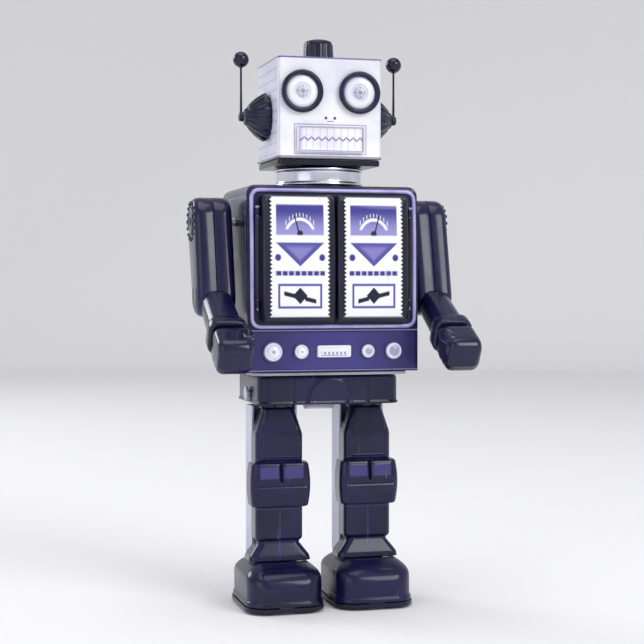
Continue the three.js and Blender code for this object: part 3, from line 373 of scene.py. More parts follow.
def tidy_copy(node, body, material, sharp=30, bevel=0.15):
    """A copy of a machined node with its doubles merged, smooth where it is round and with rounded edges."""
    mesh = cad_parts[node].data.copy()
    mesh.materials.clear()
    merged(mesh, 0.002, flat=0.5)
    mesh.name = f"{node}_finished"
    dress(f"{node}_finished", mesh, body, material, node, sharp, bevel)


def rounded_rectangle(width, height, radius, arc=8):
    """Points round a rectangle with quarter circles at its corners, anticlockwise from the right side."""
    numbers = (np.atleast_1d(v).astype(float) for v in (width, height, radius))
    width, height, radius = np.broadcast_arrays(*numbers)
    radius = np.minimum(radius, np.minimum(width, height) / 2 - SAME_POINT)
    turn = np.linspace(0, math.pi / 2, arc + 1)
    angle = (np.arange(4)[:, None] * math.pi / 2 + turn).reshape(-1)
    sign_u = np.repeat([1, -1, -1, 1], arc + 1)
    sign_v = np.repeat([1, 1, -1, -1], arc + 1)
    u = sign_u * (width / 2 - radius)[:, None] + radius[:, None] * np.cos(angle)
    v = sign_v * (height / 2 - radius)[:, None] + radius[:, None] * np.sin(angle)
    return u, v


def tower(keys, arc=8, x=0.0):
    """Rounded rectangles stacked in z. Each key is (z, half width, front y, back y, corner radius)."""
    z, half, front, back, radius = np.array(keys, float).T
    u, v = rounded_rectangle(2 * half, back - front, radius, arc)
    return np.stack([x + u, v + ((front + back) / 2)[:, None], np.repeat(z[:, None], u.shape[1], 1)], -1)


def turned(profile, sides=48, axis="z", centre=(0, 0, 0), sign=1, flutes=0, depth=0.0):
    """A profile of (radius, height) carried round an axis; flutes waves of a depth run round it."""
    radius, height = np.array(profile, float).T
    angle = np.arange(sides) * TAU / sides
    ripple = 1 - depth * (0.5 + 0.5 * np.cos(flutes * angle)) if flutes else np.ones(sides)
    r = radius[:, None] * ripple
    along = np.repeat(sign * height[:, None], sides, 1)
    u, v = r * np.cos(angle), r * np.sin(angle)
    ordered = {"x": (along, u, v), "y": (u, along, v), "z": (u, v, along)}[axis]
    return np.stack(ordered, -1) + np.array(centre, float)


def rounded_profile(points, radius=0.5, steps=4):
    """A profile with each inner corner replaced by a quadratic curve that starts and ends a radius away."""
    points = np.array(points, float)
    before, corner, after = points[:-2], points[1:-1], points[2:]
    def toward(a, b):
        span = np.linalg.norm(b - a, axis=1, keepdims=True)
        return a + (b - a) * np.minimum(radius / np.maximum(span, 1e-6), 0.5)
    t = np.linspace(0, 1, steps + 1)[None, :, None]
    first, last = toward(corner, before)[:, None], toward(corner, after)[:, None]
    curve = (1 - t) ** 2 * first + 2 * t * (1 - t) * corner[:, None] + t ** 2 * last
    return np.vstack([points[:1], curve.reshape(-1, 2), points[-1:]])


def stadium(a, b, ra, rb, inset=0.0, steps=20):
    """Points round two circles and the straight sides between them, drawn in by an inset."""
    a, b = np.array(a, float), np.array(b, float)
    along = math.atan2(*(b - a)[::-1])
    lean = math.acos((ra - rb) / np.linalg.norm(b - a))
    first = np.linspace(along + lean, along - lean + TAU, steps)
    second = np.linspace(along - lean, along + lean, steps)
    ring = lambda c, r, t: c + (r - inset) * np.stack([np.cos(t), np.sin(t)], -1)
    return np.vstack([ring(a, ra, first), ring(b, rb, second)])


def cushion(outline, half, round_x, round_in, steps=6, x=0.0):
    """An outline of (y, z), a function of its inset, carried across x: its two edges are quarter ellipses."""
    turn = np.linspace(0, math.pi / 2, steps)
    across = round_x * (1 - np.cos(turn)) - half
    inset = round_in * (1 - np.sin(turn))
    across = np.concatenate([across, -across[::-1]])
    inset = np.concatenate([inset, inset[::-1]])
    rows = [outline(value) for value in inset]
    return np.stack([np.column_stack([np.full(len(row), x + place), row]) for row, place in zip(rows, across)])


def evenly(points, count):
    """A closed line of points, sampled again at equal steps of its length."""
    closed = np.vstack([points, points[:1]])
    run = np.concatenate([[0], np.cumsum(np.linalg.norm(np.diff(closed, axis=0), axis=1))])
    where = np.linspace(0, run[-1], count, endpoint=False)
    return np.stack([np.interp(where, run, closed[:, k]) for k in range(closed.shape[1])], -1)


def panel(middle, size, radius, rows, face, count=120):
    """Rounded rectangles in the x-z plane, one in another: each row is (inset, how far out of the face)."""
    grid = []
    (cx, cz), (width, height) = middle, size
    for inset, out in rows:
        u, v = rounded_rectangle(width - 2 * inset, height - 2 * inset, max(radius - inset, 0.05))
        u, v = evenly(np.stack([u[0], v[0]], -1), count).T
        grid.append(np.stack([cx + u, face(cx + u, cz + v) - out, cz + v], -1))
    return np.stack(grid)


def box_panel(node, radius, rows, face, count=120):
    """A panel as wide and as high as a node's box."""
    _, _, middle, size = box_mm(node)
    return panel((0, middle[2]), size[[0, 2]], radius, rows, face, count)


def pressed(z, half, front, back, corner, x=0.0, detail=None, across=61):
    """Loops stacked in z: a front with quarter-circle corners and pressed detail, then a flat back."""
    rows = (np.broadcast_to(np.asarray(v, float), np.shape(z))[:, None] for v in (z, half, front, back))
    z, half, front, back = rows
    s = np.sin(np.linspace(-1, 1, across) * math.pi / 2)[None]
    u = s * half
    past = np.clip((np.abs(u) - (half - corner)) / corner, 0, 1)
    y = front + corner * (1 - np.sqrt(1 - past ** 2))
    if detail is not None:
        y = y + detail(u, z + 0 * u) * (1 - past)
    ends = np.linspace(1, -1, 7)[None] * half
    u = np.concatenate([u, ends], 1)
    y = np.concatenate([y, back + 0 * ends], 1)
    return np.stack([x + u, y, z + 0 * u], -1)


def tilt(points, degrees, pivot):
    """Points turned about X at a pivot (y, z)."""
    c, s = math.cos(math.radians(degrees)), math.sin(math.radians(degrees))
    y, z = points[..., 1] - pivot[0], points[..., 2] - pivot[1]
    return np.stack([points[..., 0], pivot[0] + y * c - z * s, pivot[1] + y * s + z * c], -1)


def bump_at(value, centre, width):
    """1 at a centre, falling off as the bell curve exp(-(d / width)^2)."""
    return np.exp(-((value - centre) / width) ** 2)


def step_up(value, low, high):
    """The smooth step from 0 at low to 1 at high."""
    t = np.clip((value - low) / (high - low), 0, 1)
    return t * t * (3 - 2 * t)


# ---------------- finishes

def tone(red, green, blue):
    """A screen colour from 0 to 255 as the linear values that a shader takes."""
    shares = (v / 255 for v in (red, green, blue))
    return tuple(v / 12.92 if v <= 0.04045 else ((v + 0.055) / 1.055) ** 2.4 for v in shares)


NAVY, NAVY_LIGHT = tone(15, 12, 46), tone(25, 22, 68)
INK, INK_LIGHT = tone(14, 13, 34), tone(22, 20, 52)
# the paler blue of the belt band's painted reflection
BELT_REFLECTION_BLUE = tone(64, 60, 128)
PRINT_BLUE, PRINT_PALE = tone(58, 54, 140), tone(150, 146, 204)
WHITE, WHITE_WORN = tone(243, 243, 248), tone(226, 225, 238)
SILVER, SILVER_DULL = tone(196, 195, 214), tone(150, 149, 172)


def enamel(name, base, light, draw=None, rough=0.24, coat=0.4, wear=1, metal=0):
    """Lithographed lacquer on tin: faint mottling, handling scratches, rubbed specks and a soft orange peel."""
    p = Paint(name, specular=0.22, coat_rough=0.07)
    colour = p.blend(p.noise(55, 4).smooth(0.35, 0.7), base, light)
    lift = None
    if draw:
        colour, lift = draw(p, colour)
    scratch = p.noise(420, 2, stretch=(1, 1, 0.06)).smooth(0.7, 0.76)
    scratch = scratch * p.noise(40, 2).smooth(0.5, 0.68)
    specks = p.cells(900).smooth(0.1, 0.05) * p.noise(28, 3).smooth(0.56, 0.7)
    marks = (scratch * 0.5 + specks * 0.7).min(1) * wear
    colour = p.blend(marks, colour, SILVER_DULL)
    handled = p.noise(30, 5).smooth(0.3, 0.75)
    height = p.noise(750, 2) * 0.5 - marks * 0.5
    if lift is not None:
        height = height + lift
    rough = rough + handled * 0.12 + marks * 0.25
    coat = coat - handled * 0.15 - marks * coat
    return p.finish(colour, rough, metal + marks * 0.6, coat, bump=height, depth=0.035)


def metal(name, base, dull, rough, brushed, grain):
    """Bare or plated metal: fine brushing, tarnish in patches and a few pits.

    The brushing's noise has a grain to the metre, stretched on x, y and z by brushed.
    """
    p = Paint(name)
    streak = p.noise(grain, 2, stretch=brushed)
    tarnish = p.noise(45, 5).smooth(0.42, 0.78)
    pits = p.cells(1100).smooth(0.08, 0.04) * p.noise(60, 2).smooth(0.55, 0.7)
    colour = p.blend((tarnish * 0.7 + pits * 0.3).min(1), base, dull)
    rough = rough + tarnish * 0.18 + streak * 0.1
    return p.finish(colour, rough, 1, bump=streak * 0.6 - pits, depth=0.02)


def moulded(name, base, light):
    """Glossy moulded plastic with handling haze and short fine scratches."""
    p = Paint(name, specular=0.25, coat_rough=0.05)
    haze = p.noise(38, 5).smooth(0.35, 0.75)
    fine = p.noise(700, 2, stretch=(0.1, 1, 1)).smooth(0.68, 0.75)
    fine = fine * p.noise(60, 2).smooth(0.5, 0.65)
    rough = haze * 0.12 + fine * 0.3 + 0.2
    height = p.noise(420, 3) * 0.8 - fine * 0.4
    return p.finish(p.blend(haze * 0.6, base, light), rough, 0, 0.4 - haze * 0.15, bump=height, depth=0.04)


# ---------------- printed patterns, with painted highlights and shade

def print_head_and_side_shade(p, colour):
    """A white face with two nostril dots and a mouth frame, dots on the sides and back, dark edge lines, and
    painted shade that tints both sides lavender.
    """
    x, y, z = p.place()
    low, high, _, _ = box_mm("head_shell")
    foot, top = low[2], high[2]
    front = y.smooth(low[1] + 0.9, low[1] + 0.5)
    side = x.abs().smooth(high[0] - 0.6, high[0] - 0.3)
    rear = y.smooth(high[1] - 0.6, high[1] - 0.3)
    edge = z.smooth(top - 0.9, top - 0.6) * z.smooth(top + 0.2, top - 0.1)
    corner = band(x.abs(), high[0] - 1.1, high[0] - 0.6, 0.12) * front
    nose = disc(x.abs() - 1.9, z - (foot + 16.8), 0.62) * front
    nose = nose + band(z, foot + 15.3, foot + 15.6, 0.1) * x.abs().smooth(1.6, 1.2) * front
    mouth_line = line_round(x, z, 15.6, foot + 1.7, foot + 14.3, 0.4, 0.1)
    pitch, rows = 4.4, z - foot + 2.2
    dots = disc((y + 200).every(pitch), rows.every(pitch), 0.62, 0.12) * side
    dots = dots * y.abs().smooth(18.8, 18.4) * band(z, foot + 2, top - 2, 0.2)
    seams = band(x.abs(), 15.6, 15.9, 0.1) * z.smooth(foot + 5, foot + 5.4) * z.smooth(top - 5, top - 5.4)
    seams = (seams + band(z, top - 5.4, top - 5.1, 0.1) * x.abs().smooth(15.9, 15.6)) * rear
    rear_dots = disc((x + 200).every(pitch), rows.every(pitch), 0.62, 0.12) * rear
    dots = dots + rear_dots * x.abs().smooth(11.6, 11.2)
    lines = edge * (front + side).min(1) * 0.9 + corner * 0.35 + nose + seams * 0.6
    lines = (lines + mouth_line * front * 0.55).min(1)
    hem = z.smooth(foot + 1.3, foot + 0.9)
    # the first layer is painted shade: both sides of the head tinted lavender
    return p.layers(
        colour, (side * 0.35, tone(196, 192, 232)), (lines, PRINT_BLUE), (dots * 0.75, PRINT_BLUE),
        (hem * 0.6, NAVY_LIGHT),
    ), dots * 3 - lines * 0.3


def print_mouth_and_shade(p, colour):
    """A thin dark frame, and between the two rows of teeth a zigzag line with short upright strokes; a band of
    painted shade runs inside the frame's left edge.
    """
    x, _, z = p.place()
    low, high, middle, _ = box_mm("mouth_grille")
    mid = middle[2]
    inner = patch(x, z, low[0] + 1, high[0] - 1, low[2] + 0.9, high[2] - 0.9, 0.12)
    outer = patch(x, z, low[0] + 0.35, high[0] - 0.35, low[2] + 0.3, high[2] - 0.3, 0.12)
    zigzag = (z - mid - ((x + 40).every(3) - 0.75) * 1.1).abs().smooth(0.42, 0.22)
    upright = (x + 40.75).every(3).smooth(0.24, 0.1)
    rows = (z - mid).abs().every(5).smooth(0.22, 0.08) * 0.35
    dark = ((zigzag * 0.75 + upright * 0.25 + rows).min(1) * inner + (outer - inner) * 0.55).max(0)
    # painted shade: a pale lavender band inside the left edge of the frame
    painted_left_shade = x.smooth(low[0] + 3, low[0] + 1) * inner
    height = (zigzag + upright) * inner * -2.0
    return p.layers(colour, (painted_left_shade * 0.5, PRINT_PALE), (dark.min(1), PRINT_BLUE)), height


def print_panel(p, colour):
    """A dial panel on each door: a meter, a triangle that points down with two dots, a dashed bar and a plug box.

    u and v are shares of the panel's width and height, u from its middle and v from its top.
    """
    x, y, z = p.place()
    low, high, middle, _ = box_mm("left_door")
    hinge, width, height = 2.56, 25, 52.0
    u = (x.abs() - (middle[0] - hinge / 2)) / width
    v = (high[2] + 0.3 - z) / height
    violet = tone(84, 80, 160)
    front = y.smooth(low[1] + 3.2, low[1] + 2.8)
    white = patch(u, v, -0.5, 0.5, 0.025, 0.965, 0.008) * front
    teeth = (z + 200).every(1.7) * 0.05
    nibble = (u.abs() - 0.5 + teeth).smooth(0, 0.012)
    white = white * (1 - nibble)
    meter = patch(u, v, -0.4, 0.4, 0.085, 0.325, 0.01)
    fade = v.smooth(0.12, 0.3)
    arc_far = (u * u * 1.3 + (v - 0.36) * (v - 0.36) * 3.4).root()
    arc = band(arc_far, 0.272, 0.318, 0.012) * u.abs().smooth(0.26, 0.23) * v.smooth(0.29, 0.27)
    ticks = (u + 4).every(0.058).smooth(0.01, 0.004) * band(arc_far, 0.335, 0.385, 0.01)
    ticks = ticks * u.abs().smooth(0.27, 0.25)
    needle = (u - (0.34 - v) * 0.55).abs().smooth(0.017, 0.007) * band(v, 0.17, 0.31, 0.01)
    hub = disc(u, (v - 0.315) * 1.8, 0.05, 0.01)
    triangle_edge = u.abs() * 0.46 + v
    triangle = triangle_edge.smooth(0.575, 0.565) * v.smooth(0.378, 0.388)
    triangle_core = triangle_edge.smooth(0.545, 0.5) * v.smooth(0.39, 0.44)
    dots = disc(u.abs() - 0.37, (v - 0.5) * 1.85, 0.05, 0.012)
    bar = patch(u, v, -0.42, 0.42, 0.605, 0.642, 0.006)
    dashes = (u + 4).every(0.105).smooth(0.012, 0.02)
    frame_out = patch(u, v, -0.37, 0.37, 0.705, 0.9, 0.006)
    frame_in = patch(u, v, -0.335, 0.335, 0.724, 0.881, 0.006)
    diamond = (u.abs() + (v - 0.8).abs() * 1.9).smooth(0.135, 0.115)
    prong = patch(u.abs(), v + u * 0.12, 0.08, 0.27, 0.795, 0.83, 0.006)
    colour = p.layers(
        colour,
        (white, WHITE),
        (meter * white, p.blend(fade, PRINT_BLUE, PRINT_PALE)),
        (((arc + ticks * 0.8) * meter * white).min(1), WHITE),
        (((needle + hub) * meter * white).min(1), NAVY_LIGHT),
        (triangle * white, violet),
        (triangle_core * white * 0.65, PRINT_PALE),
        (dots * white, PRINT_BLUE),
        (bar * white * (0.45 + dashes * 0.55), PRINT_BLUE),
        (((frame_out - frame_in) * white).max(0), violet),
        ((diamond + prong).min(1) * white, NAVY),
    )
    screen = (x + 300).every(0.9) * (z + 300).every(0.9)
    return colour, white * 1.6 + screen * white * 0.6 - meter * white * 0.8


def print_torso_and_sheen(p, colour):
    """A belt band across the front painted paler as a reflection and brightest at its middle as a painted sheen,
    between two fine printed lines, and rows of tiny printed rivets on the sides.
    """
    x, y, z = p.place()
    _, high, _, _ = box_mm("torso_shell")
    front = y.smooth(-23.6, -24.2)
    # painted reflection: the belt band is lighter, and painted_sheen makes it brightest at the middle of the
    # front
    belt = band(z, 101.2, 116.4, 0.3) * front * x.abs().smooth(35.6, 35)
    painted_sheen = (x.abs() * -1 + 36).smooth(0, 30)
    line = (band(z, 116.9, 117.4, 0.1) + band(z, 100.5, 100.9, 0.1)) * front
    side = x.abs().smooth(high[0] - 0.5, high[0] - 0.2)
    rim = line_round(y, z, 21.5, 104.5, 172.5, 0.6)
    pitch = 5.3
    rivets = disc((y + 201.15).every(pitch), (z + 200).every(pitch), 0.55, 0.12)
    rivets = rivets * (1 - patch(y, z, -17.5, 17.5, 108, 169, 0.2)) * patch(y, z, -21, 21, 104, 173, 0.2)
    pale = (line * 0.7 + (rim * 0.6 + rivets * 0.55) * side).min(1)
    colour = p.layers(colour, (belt * (0.45 + painted_sheen * 0.5), BELT_REFLECTION_BLUE), (pale, PRINT_PALE))
    return colour, (rivets * side * 2.5 + rim * side).max(0)


def print_back(p, colour):
    """A ring of small marks round the key hole, a thin frame line and printed vents."""
    x, _, z = p.place()
    far = (x * x + (z - KEY_Z) * (z - KEY_Z)).root()
    ring = band(far, 9.6, 10.3, 0.12) + band(far, 17.6, 18, 0.12)
    border = line_round(x, z, 29, 108, 169, 0.6)
    vents = (z + 200).every(3).smooth(0.5, 0.35) * patch(x.abs(), z, 14, 25, 148, 165, 0.2)
    mask = (ring + border + vents).min(1).max(0)
    return p.blend(mask * 0.7, colour, PRINT_PALE), vents * -3 + ring


def print_limb_and_highlights(p, colour):
    """A paler line down the middle of a pressed limb's front, thin painted highlight lines above and below the
    knee guard, and two painted highlights on the knee guard's upper pads.
    """
    x, _, z = p.place()
    middle = (x.abs() - LEG_X).abs()
    crease = middle.smooth(0.5, 0.15) * band(z, 22, 41, 0.6)
    # painted highlight: thin paler lines on the lip over the knee guard and just under it
    lip = band(z, 62.4, 62.9, 0.15) + band(z, 41.4, 41.8, 0.15)
    # painted highlight: two paler patches on the knee guard's upper pads
    plates = patch(middle, z, 1.3, 9.2, 54.8, 59.6, 0.3)
    lines = (crease * 0.5 + lip * 0.6).min(1)
    return p.layers(colour, (plates * 0.4, tone(96, 92, 164)), (lines, tone(70, 66, 136))), crease * -2.0


def print_lamp_and_shade(p, colour):
    """Lamp covers: the first two have a small dark centre, the last two a broad dark middle; each has a dark rim
    ring and, on its +x half, an arc of painted shade.
    """
    x, _, z = p.place()
    total = None
    for number, core, strength in ((1, 0.22, 0.6), (2, 0.2, 0.5), (3, 0.52, 0.6), (4, 0.62, 0.6)):
        _, _, middle, size = box_mm(f"belt_lamp_{number}")
        u, v = x - middle[0], z - middle[2]
        far = (u * u + v * v).root() / (size[0] / 2)
        mark = far.smooth(core, core - 0.1) * strength
        # painted shade: a dark arc on the lamp's +x half only
        mark = mark + band(far, 0.66, 0.74, 0.03) * 0.5 * u.smooth(-0.4, 0.6)
        mark = mark + band(far, 0.86, 1.1, 0.03) * 0.8
        total = mark if total is None else total + mark
    return p.blend(total.min(1), colour, PRINT_BLUE), total * -0.5


def print_window(p, colour):
    """A white belt window with a row of short printed strokes."""
    x, _, z = p.place()
    strokes = (x + 60).every(1.7).smooth(0.5, 0.3) * band(z, 107.2, 108.3, 0.15) * x.abs().smooth(5.6, 5.2)
    base = band(z, 106.7, 107, 0.1) * x.abs().smooth(5.8, 5.4)
    return p.blend((strokes + base).min(1) * 0.7, colour, PRINT_BLUE), strokes * -1.0


def print_lens(p, colour):
    """An eye lens: a grey hub, a thin ring and faint spokes."""
    x, _, z = p.place()
    _, _, middle, _ = box_mm("left_eye_lens")
    u, v = x.abs() - middle[0], z - middle[2]
    far = (u * u + v * v).root()
    hub = far.smooth(3.1, 2.3)
    core = far.smooth(1.1, 0.7)
    ring = band(far, 3.3, 3.6, 0.12) + band(far, 5.6, 6.9, 0.2) * 0.35
    spokes = (u * v).abs().smooth(0.5, 0.2) * band(far, 1.4, 3.2, 0.2)
    grey, dark = (hub * 0.5 + spokes * 0.5).min(1), (core * 0.6 + ring * 0.4).min(1)
    return p.layers(colour, (grey, tone(150, 148, 176)), (dark, tone(96, 92, 150))), ring * -1.0


# ---------------- materials

add_camera()
add_light("key_softbox", (0.75, -1.25, 0.95), 0.75, 11)
add_light("fill_softbox", (-1.2, -0.9, 0.55), 0.9, 2.4, (0.95, 0.95, 1.0))
add_light("top_softbox", (-0.1, -0.2, 1.5), 1.1, 7)
add_light("rim_strip", (-0.8, 1.0, 0.7), 0.5, 4.5, (0.93, 0.93, 1.0))
add_stage()
world = bpy.data.worlds.new("studio_air")
world.use_nodes = True
world.node_tree.nodes["Background"].inputs[0].default_value = (0.93, 0.93, 0.96, 1)
world.node_tree.nodes["Background"].inputs[1].default_value = 0.5
bpy.context.scene.world = world
bpy.context.scene.view_settings.view_transform = "Standard"

navy = enamel("navy_lacquer", NAVY, NAVY_LIGHT)
limb_navy = enamel("limb_lacquer", NAVY, NAVY_LIGHT, print_limb_and_highlights)
torso_navy = enamel("torso_print_and_sheen", NAVY, NAVY_LIGHT, print_torso_and_sheen)
back_navy = enamel("back_print", NAVY, NAVY_LIGHT, print_back)
ink = enamel("ink_lacquer", INK, INK_LIGHT)
door_print = enamel("door_print", INK, INK_LIGHT, print_panel, rough=0.3, coat=0.55, wear=0.6)
head_print_and_side_shade = enamel("head_print_and_side_shade", WHITE, WHITE_WORN, print_head_and_side_shade, rough=0.3, coat=0.5, wear=0.45)
mouth_print_and_shade = enamel("mouth_print_and_shade", WHITE, WHITE_WORN, print_mouth_and_shade, rough=0.32, coat=0.4, wear=0.3)
lens_print = enamel("lens_print", WHITE, WHITE_WORN, print_lens, rough=0.18, coat=0.8, wear=0.1)
window_print = enamel("window_print", WHITE, WHITE_WORN, print_window, rough=0.25, wear=0.3)
lamp_print_and_shade = enamel("lamp_print_and_shade", WHITE, tone(222, 220, 240), print_lamp_and_shade, rough=0.15, coat=0.9, wear=0.1)
silver = enamel("silver_paint", SILVER, tone(176, 174, 200), rough=0.3, coat=0.35, metal=0.35, wear=1.4)
trim_silver = enamel("trim_paint", tone(186, 182, 228), PRINT_PALE, rough=0.3, coat=0.4, metal=0.3, wear=1.4)
bright = metal("bright_plate", tone(226, 226, 238), tone(150, 148, 178), 0.1, (1, 1, 20), 420)
steel = metal("pressed_steel", tone(170, 170, 182), tone(96, 94, 108), 0.3, (0.08, 1, 1), 900)
axle_steel = metal("turned_steel", tone(186, 186, 196), tone(110, 108, 122), 0.25, (1, 0.05, 1), 900)
spring_steel = metal("spring_steel", tone(98, 104, 138), tone(50, 48, 62), 0.25, (1, 1, 0.1), 700)
brass = metal("stamped_brass", tone(196, 160, 86), tone(120, 88, 44), 0.28, (0.2, 1, 1), 800)
plastic = moulded("arm_plastic", tone(20, 18, 52), tone(34, 31, 80))
cup_plastic = moulded("cup_plastic", tone(18, 16, 44), tone(30, 28, 70))


# ---------------- head

def chest_face(x, z):
    """The chest's outer y: upright, then curving back as the square of the height over its fullest line."""
    fullest, curve, front, drawn_in = 145.0, 32.0, -25.0, 1.8
    share = np.clip((z - fullest) / curve, 0, None)
    return front + drawn_in * share ** 2 + 0 * x


def head_face(x, z):
    """The flat front of the head."""
    return np.full_like(x, box_mm("head_shell")[0][1])


def make_eye(word):
    """A hollow bezel and the lens in it, both turned about the eye's own line to the front."""
    _, high, middle, size = box_mm(f"{word}_eye_ring")
    outer, out = size[0] / 2, size[1]
    ring = turned(rounded_profile([
        (outer - 2, 0), (outer, 0), (outer, out * 0.7), (outer - 0.7, out), (outer - 1.3, out),
        (outer - 1.95, out * 0.45), (outer - 2, 0),
    ], 0.3), 64, "y", (middle[0], high[1], middle[2]), -1)
    piece(f"{word}_eye_bezel", opened(ring), "head", navy, f"{word}_eye_ring")
    _, high, _, size = box_mm(f"{word}_eye_lens")
    r, deep = size[0] / 2, size[1]
    lens = turned(rounded_profile([
        (AXIS, 0), (r, 0), (r, 0.55), (r * 0.86, 0.95), (r * 0.52, 1.15), (r * 0.5, 0.85), (r * 0.4, 0.85),
        (r * 0.36, 1.5), (r * 0.26, deep - 0.1), (r * 0.1, deep), (AXIS, deep),
    ], 0.25), 64, "y", (middle[0], high[1], middle[2]), -1)
    piece(f"{word}_eye_disc", lens, "head", lens_print, f"{word}_eye_lens")


def make_ear(side, word):
    """A fluted horn, and an antenna that turns with a hub on its end."""
    ear_z = box_mm(f"{word}_ear_cup")[2][2]
    cup = turned(rounded_profile([
        (AXIS, -1), (9.3, -1), (9.4, 0), (10.25, 0.3), (10.3, 1.1), (9.5, 2.6), (7.8, 5),
        (5.2, 7.6), (3.6, 8.6), (3.3, 9.55), (2.4, 9.6), (2.2, 9.2), (AXIS, 9.2),
    ], 0.5), 96, "x", (side * EAR_ROOT, 0, ear_z), side, flutes=16, depth=0.07)
    piece(f"{word}_ear_horn", cup, "head", cup_plastic, f"{word}_ear_cup", sharp=50)

    hub_x, rod_x, ball_z, ball_r = side * (EAR_ROOT + 9.9), side * (EAR_ROOT + 10.9), ear_z + 24, 3.38
    angle = np.linspace(-math.pi / 2, math.pi / 2, 20)
    half_circle = np.stack([np.maximum(ball_r * np.cos(angle), AXIS), ball_r * np.sin(angle)], -1)
    ball = turned(half_circle, 32, "z", (rod_x, 0, ball_z))
    rod = turned([
        (AXIS, 0), (0.6, 0), (0.55, 2), (0.45, 12), (0.45, 20.4), (0.9, 20.6), (0.9, 21.2), (AXIS, 21.2),
    ], 16, "z", (rod_x, 0, ear_z))
    profile = [(AXIS, 0), (2, 0), (2, 1.6), (1.5, 1.98), (AXIS, 1.98)]
    hub = turned(rounded_profile(profile, 0.3), 28, "x", (hub_x, 0, ear_z), side)
    piece(f"{word}_antenna_ball_rod", [ball, rod, hub], f"{word}_antenna_rod", cup_plastic,
          f"{word}_antenna")


def make_head():
    """The white pressing with hems at both ends, and the eyes, ear cups, antennas, mouth and lamp on it."""
    low, high, _, _ = box_mm("head_shell")
    foot, top, w, d = low[2], high[2], high[0], high[1]
    hem = [
        (foot, 0.5, 1.5), (foot + 0.2, 0.1, 1.5), (foot + 0.5, 0, 1.5), (foot + 1, 0, 1.5),
        (foot + 1.25, 0.3, 1.4), (foot + 1.6, 0.35, 1.4), (foot + 10, 0.3, 1.4), (top - 10, 0.3, 1.4),
        (top - 1.3, 0.35, 1.4), (top - 0.9, 0.05, 1.5), (top - 0.5, 0, 1.5), (top - 0.15, 0.15, 1.5),
        (top, 0.5, 1.4), (top, 2, 1), (top - 0.35, 2.6, 1), (top - 0.35, 12, 1),
    ]
    keys = [(z, w - inset, inset - d, d - inset, r) for z, inset, r in hem]
    piece("head_pressing", tower(keys, arc=6), "head", head_print_and_side_shade, "head_shell", sharp=40)
    tidy_copy("head_base", "head", ink, bevel=0.3)

    for side, word in SIDES:
        make_eye(word)
        make_ear(side, word)

    plate = box_panel("mouth_grille", 0.8, [
        (0, 0.3), (0, 1.3), (0.15, 1.6), (0.5, 1.68), (0.9, 1.55), (1.1, 1.1), (1.4, 1), (3, 1.05), (5, 1.1),
    ], head_face, 160)
    piece("mouth_plate", plate, "head", mouth_print_and_shade, "mouth_grille")

    foot = box_mm("lamp_cap")[0][2]
    cap = turned(rounded_profile([
        (AXIS, 0), (7.45, 0), (7.5, 1), (6.9, 1.5), (6.6, 1.6), (6.3, 7.2), (5.6, 8.9), (4.2, 9.4), (3.9, 9.55),
        (2.6, 9.58), (2.3, 9.2), (AXIS, 9.15),
    ], 0.5), 96, "z", (0, 0, foot), flutes=24, depth=0.035)
    piece("head_lamp_cap", cap, "head", cup_plastic, "lamp_cap", sharp=50)


# ---------------- torso

def make_chest():
    """The torso's own pressing, its back cover, the raised trim round the doors and the belt."""
    tidy_copy("torso_shell", "torso", torso_navy, bevel=0.3)
    tidy_copy("back_cover", "torso", back_navy, bevel=0.3)
    tidy_copy("waist_plate", "torso", steel, bevel=0.12)

    trim = box_panel("chest_trim", 4, [
        (0, 0.32), (0, 1), (0.25, 1.35), (0.6, 1.45), (1, 1.45), (1.35, 1.3), (1.6, 1), (1.6, 0.32), (0, 0.32),
    ], chest_face, 220)
    piece("chest_rim", opened(trim), "torso", trim_silver, "chest_trim")

    for number in (1, 2, 3, 4):
        _, high, middle, size = box_mm(f"belt_lamp_{number}")
        reach, out = size[0] / 2, size[1]
        lamp = turned(rounded_profile([
            (AXIS, 0), (reach * 0.7, 0), (reach * 0.7, out - 2.8), (reach, out - 2.75), (reach, out - 1.7),
            (reach * 0.9, out - 1.1), (reach * 0.82, out - 1.25), (reach * 0.5, out - 0.35), (reach * 0.2, out),
            (AXIS, out),
        ], 0.3), 48, "y", (middle[0], high[1], middle[2]), -1)
        piece(f"belt_light_{number}", lamp, "torso", lamp_print_and_shade, f"belt_lamp_{number}")
    pane = box_panel("belt_window", 0.9, [
        (0, -0.6), (0, 1), (0.2, 1.35), (0.6, 1.48), (0.9, 1.3), (1.1, 1.05), (1.5, 1), (2.4, 1),
    ], chest_face)
    piece("belt_pane", pane, "torso", window_print, "belt_window")


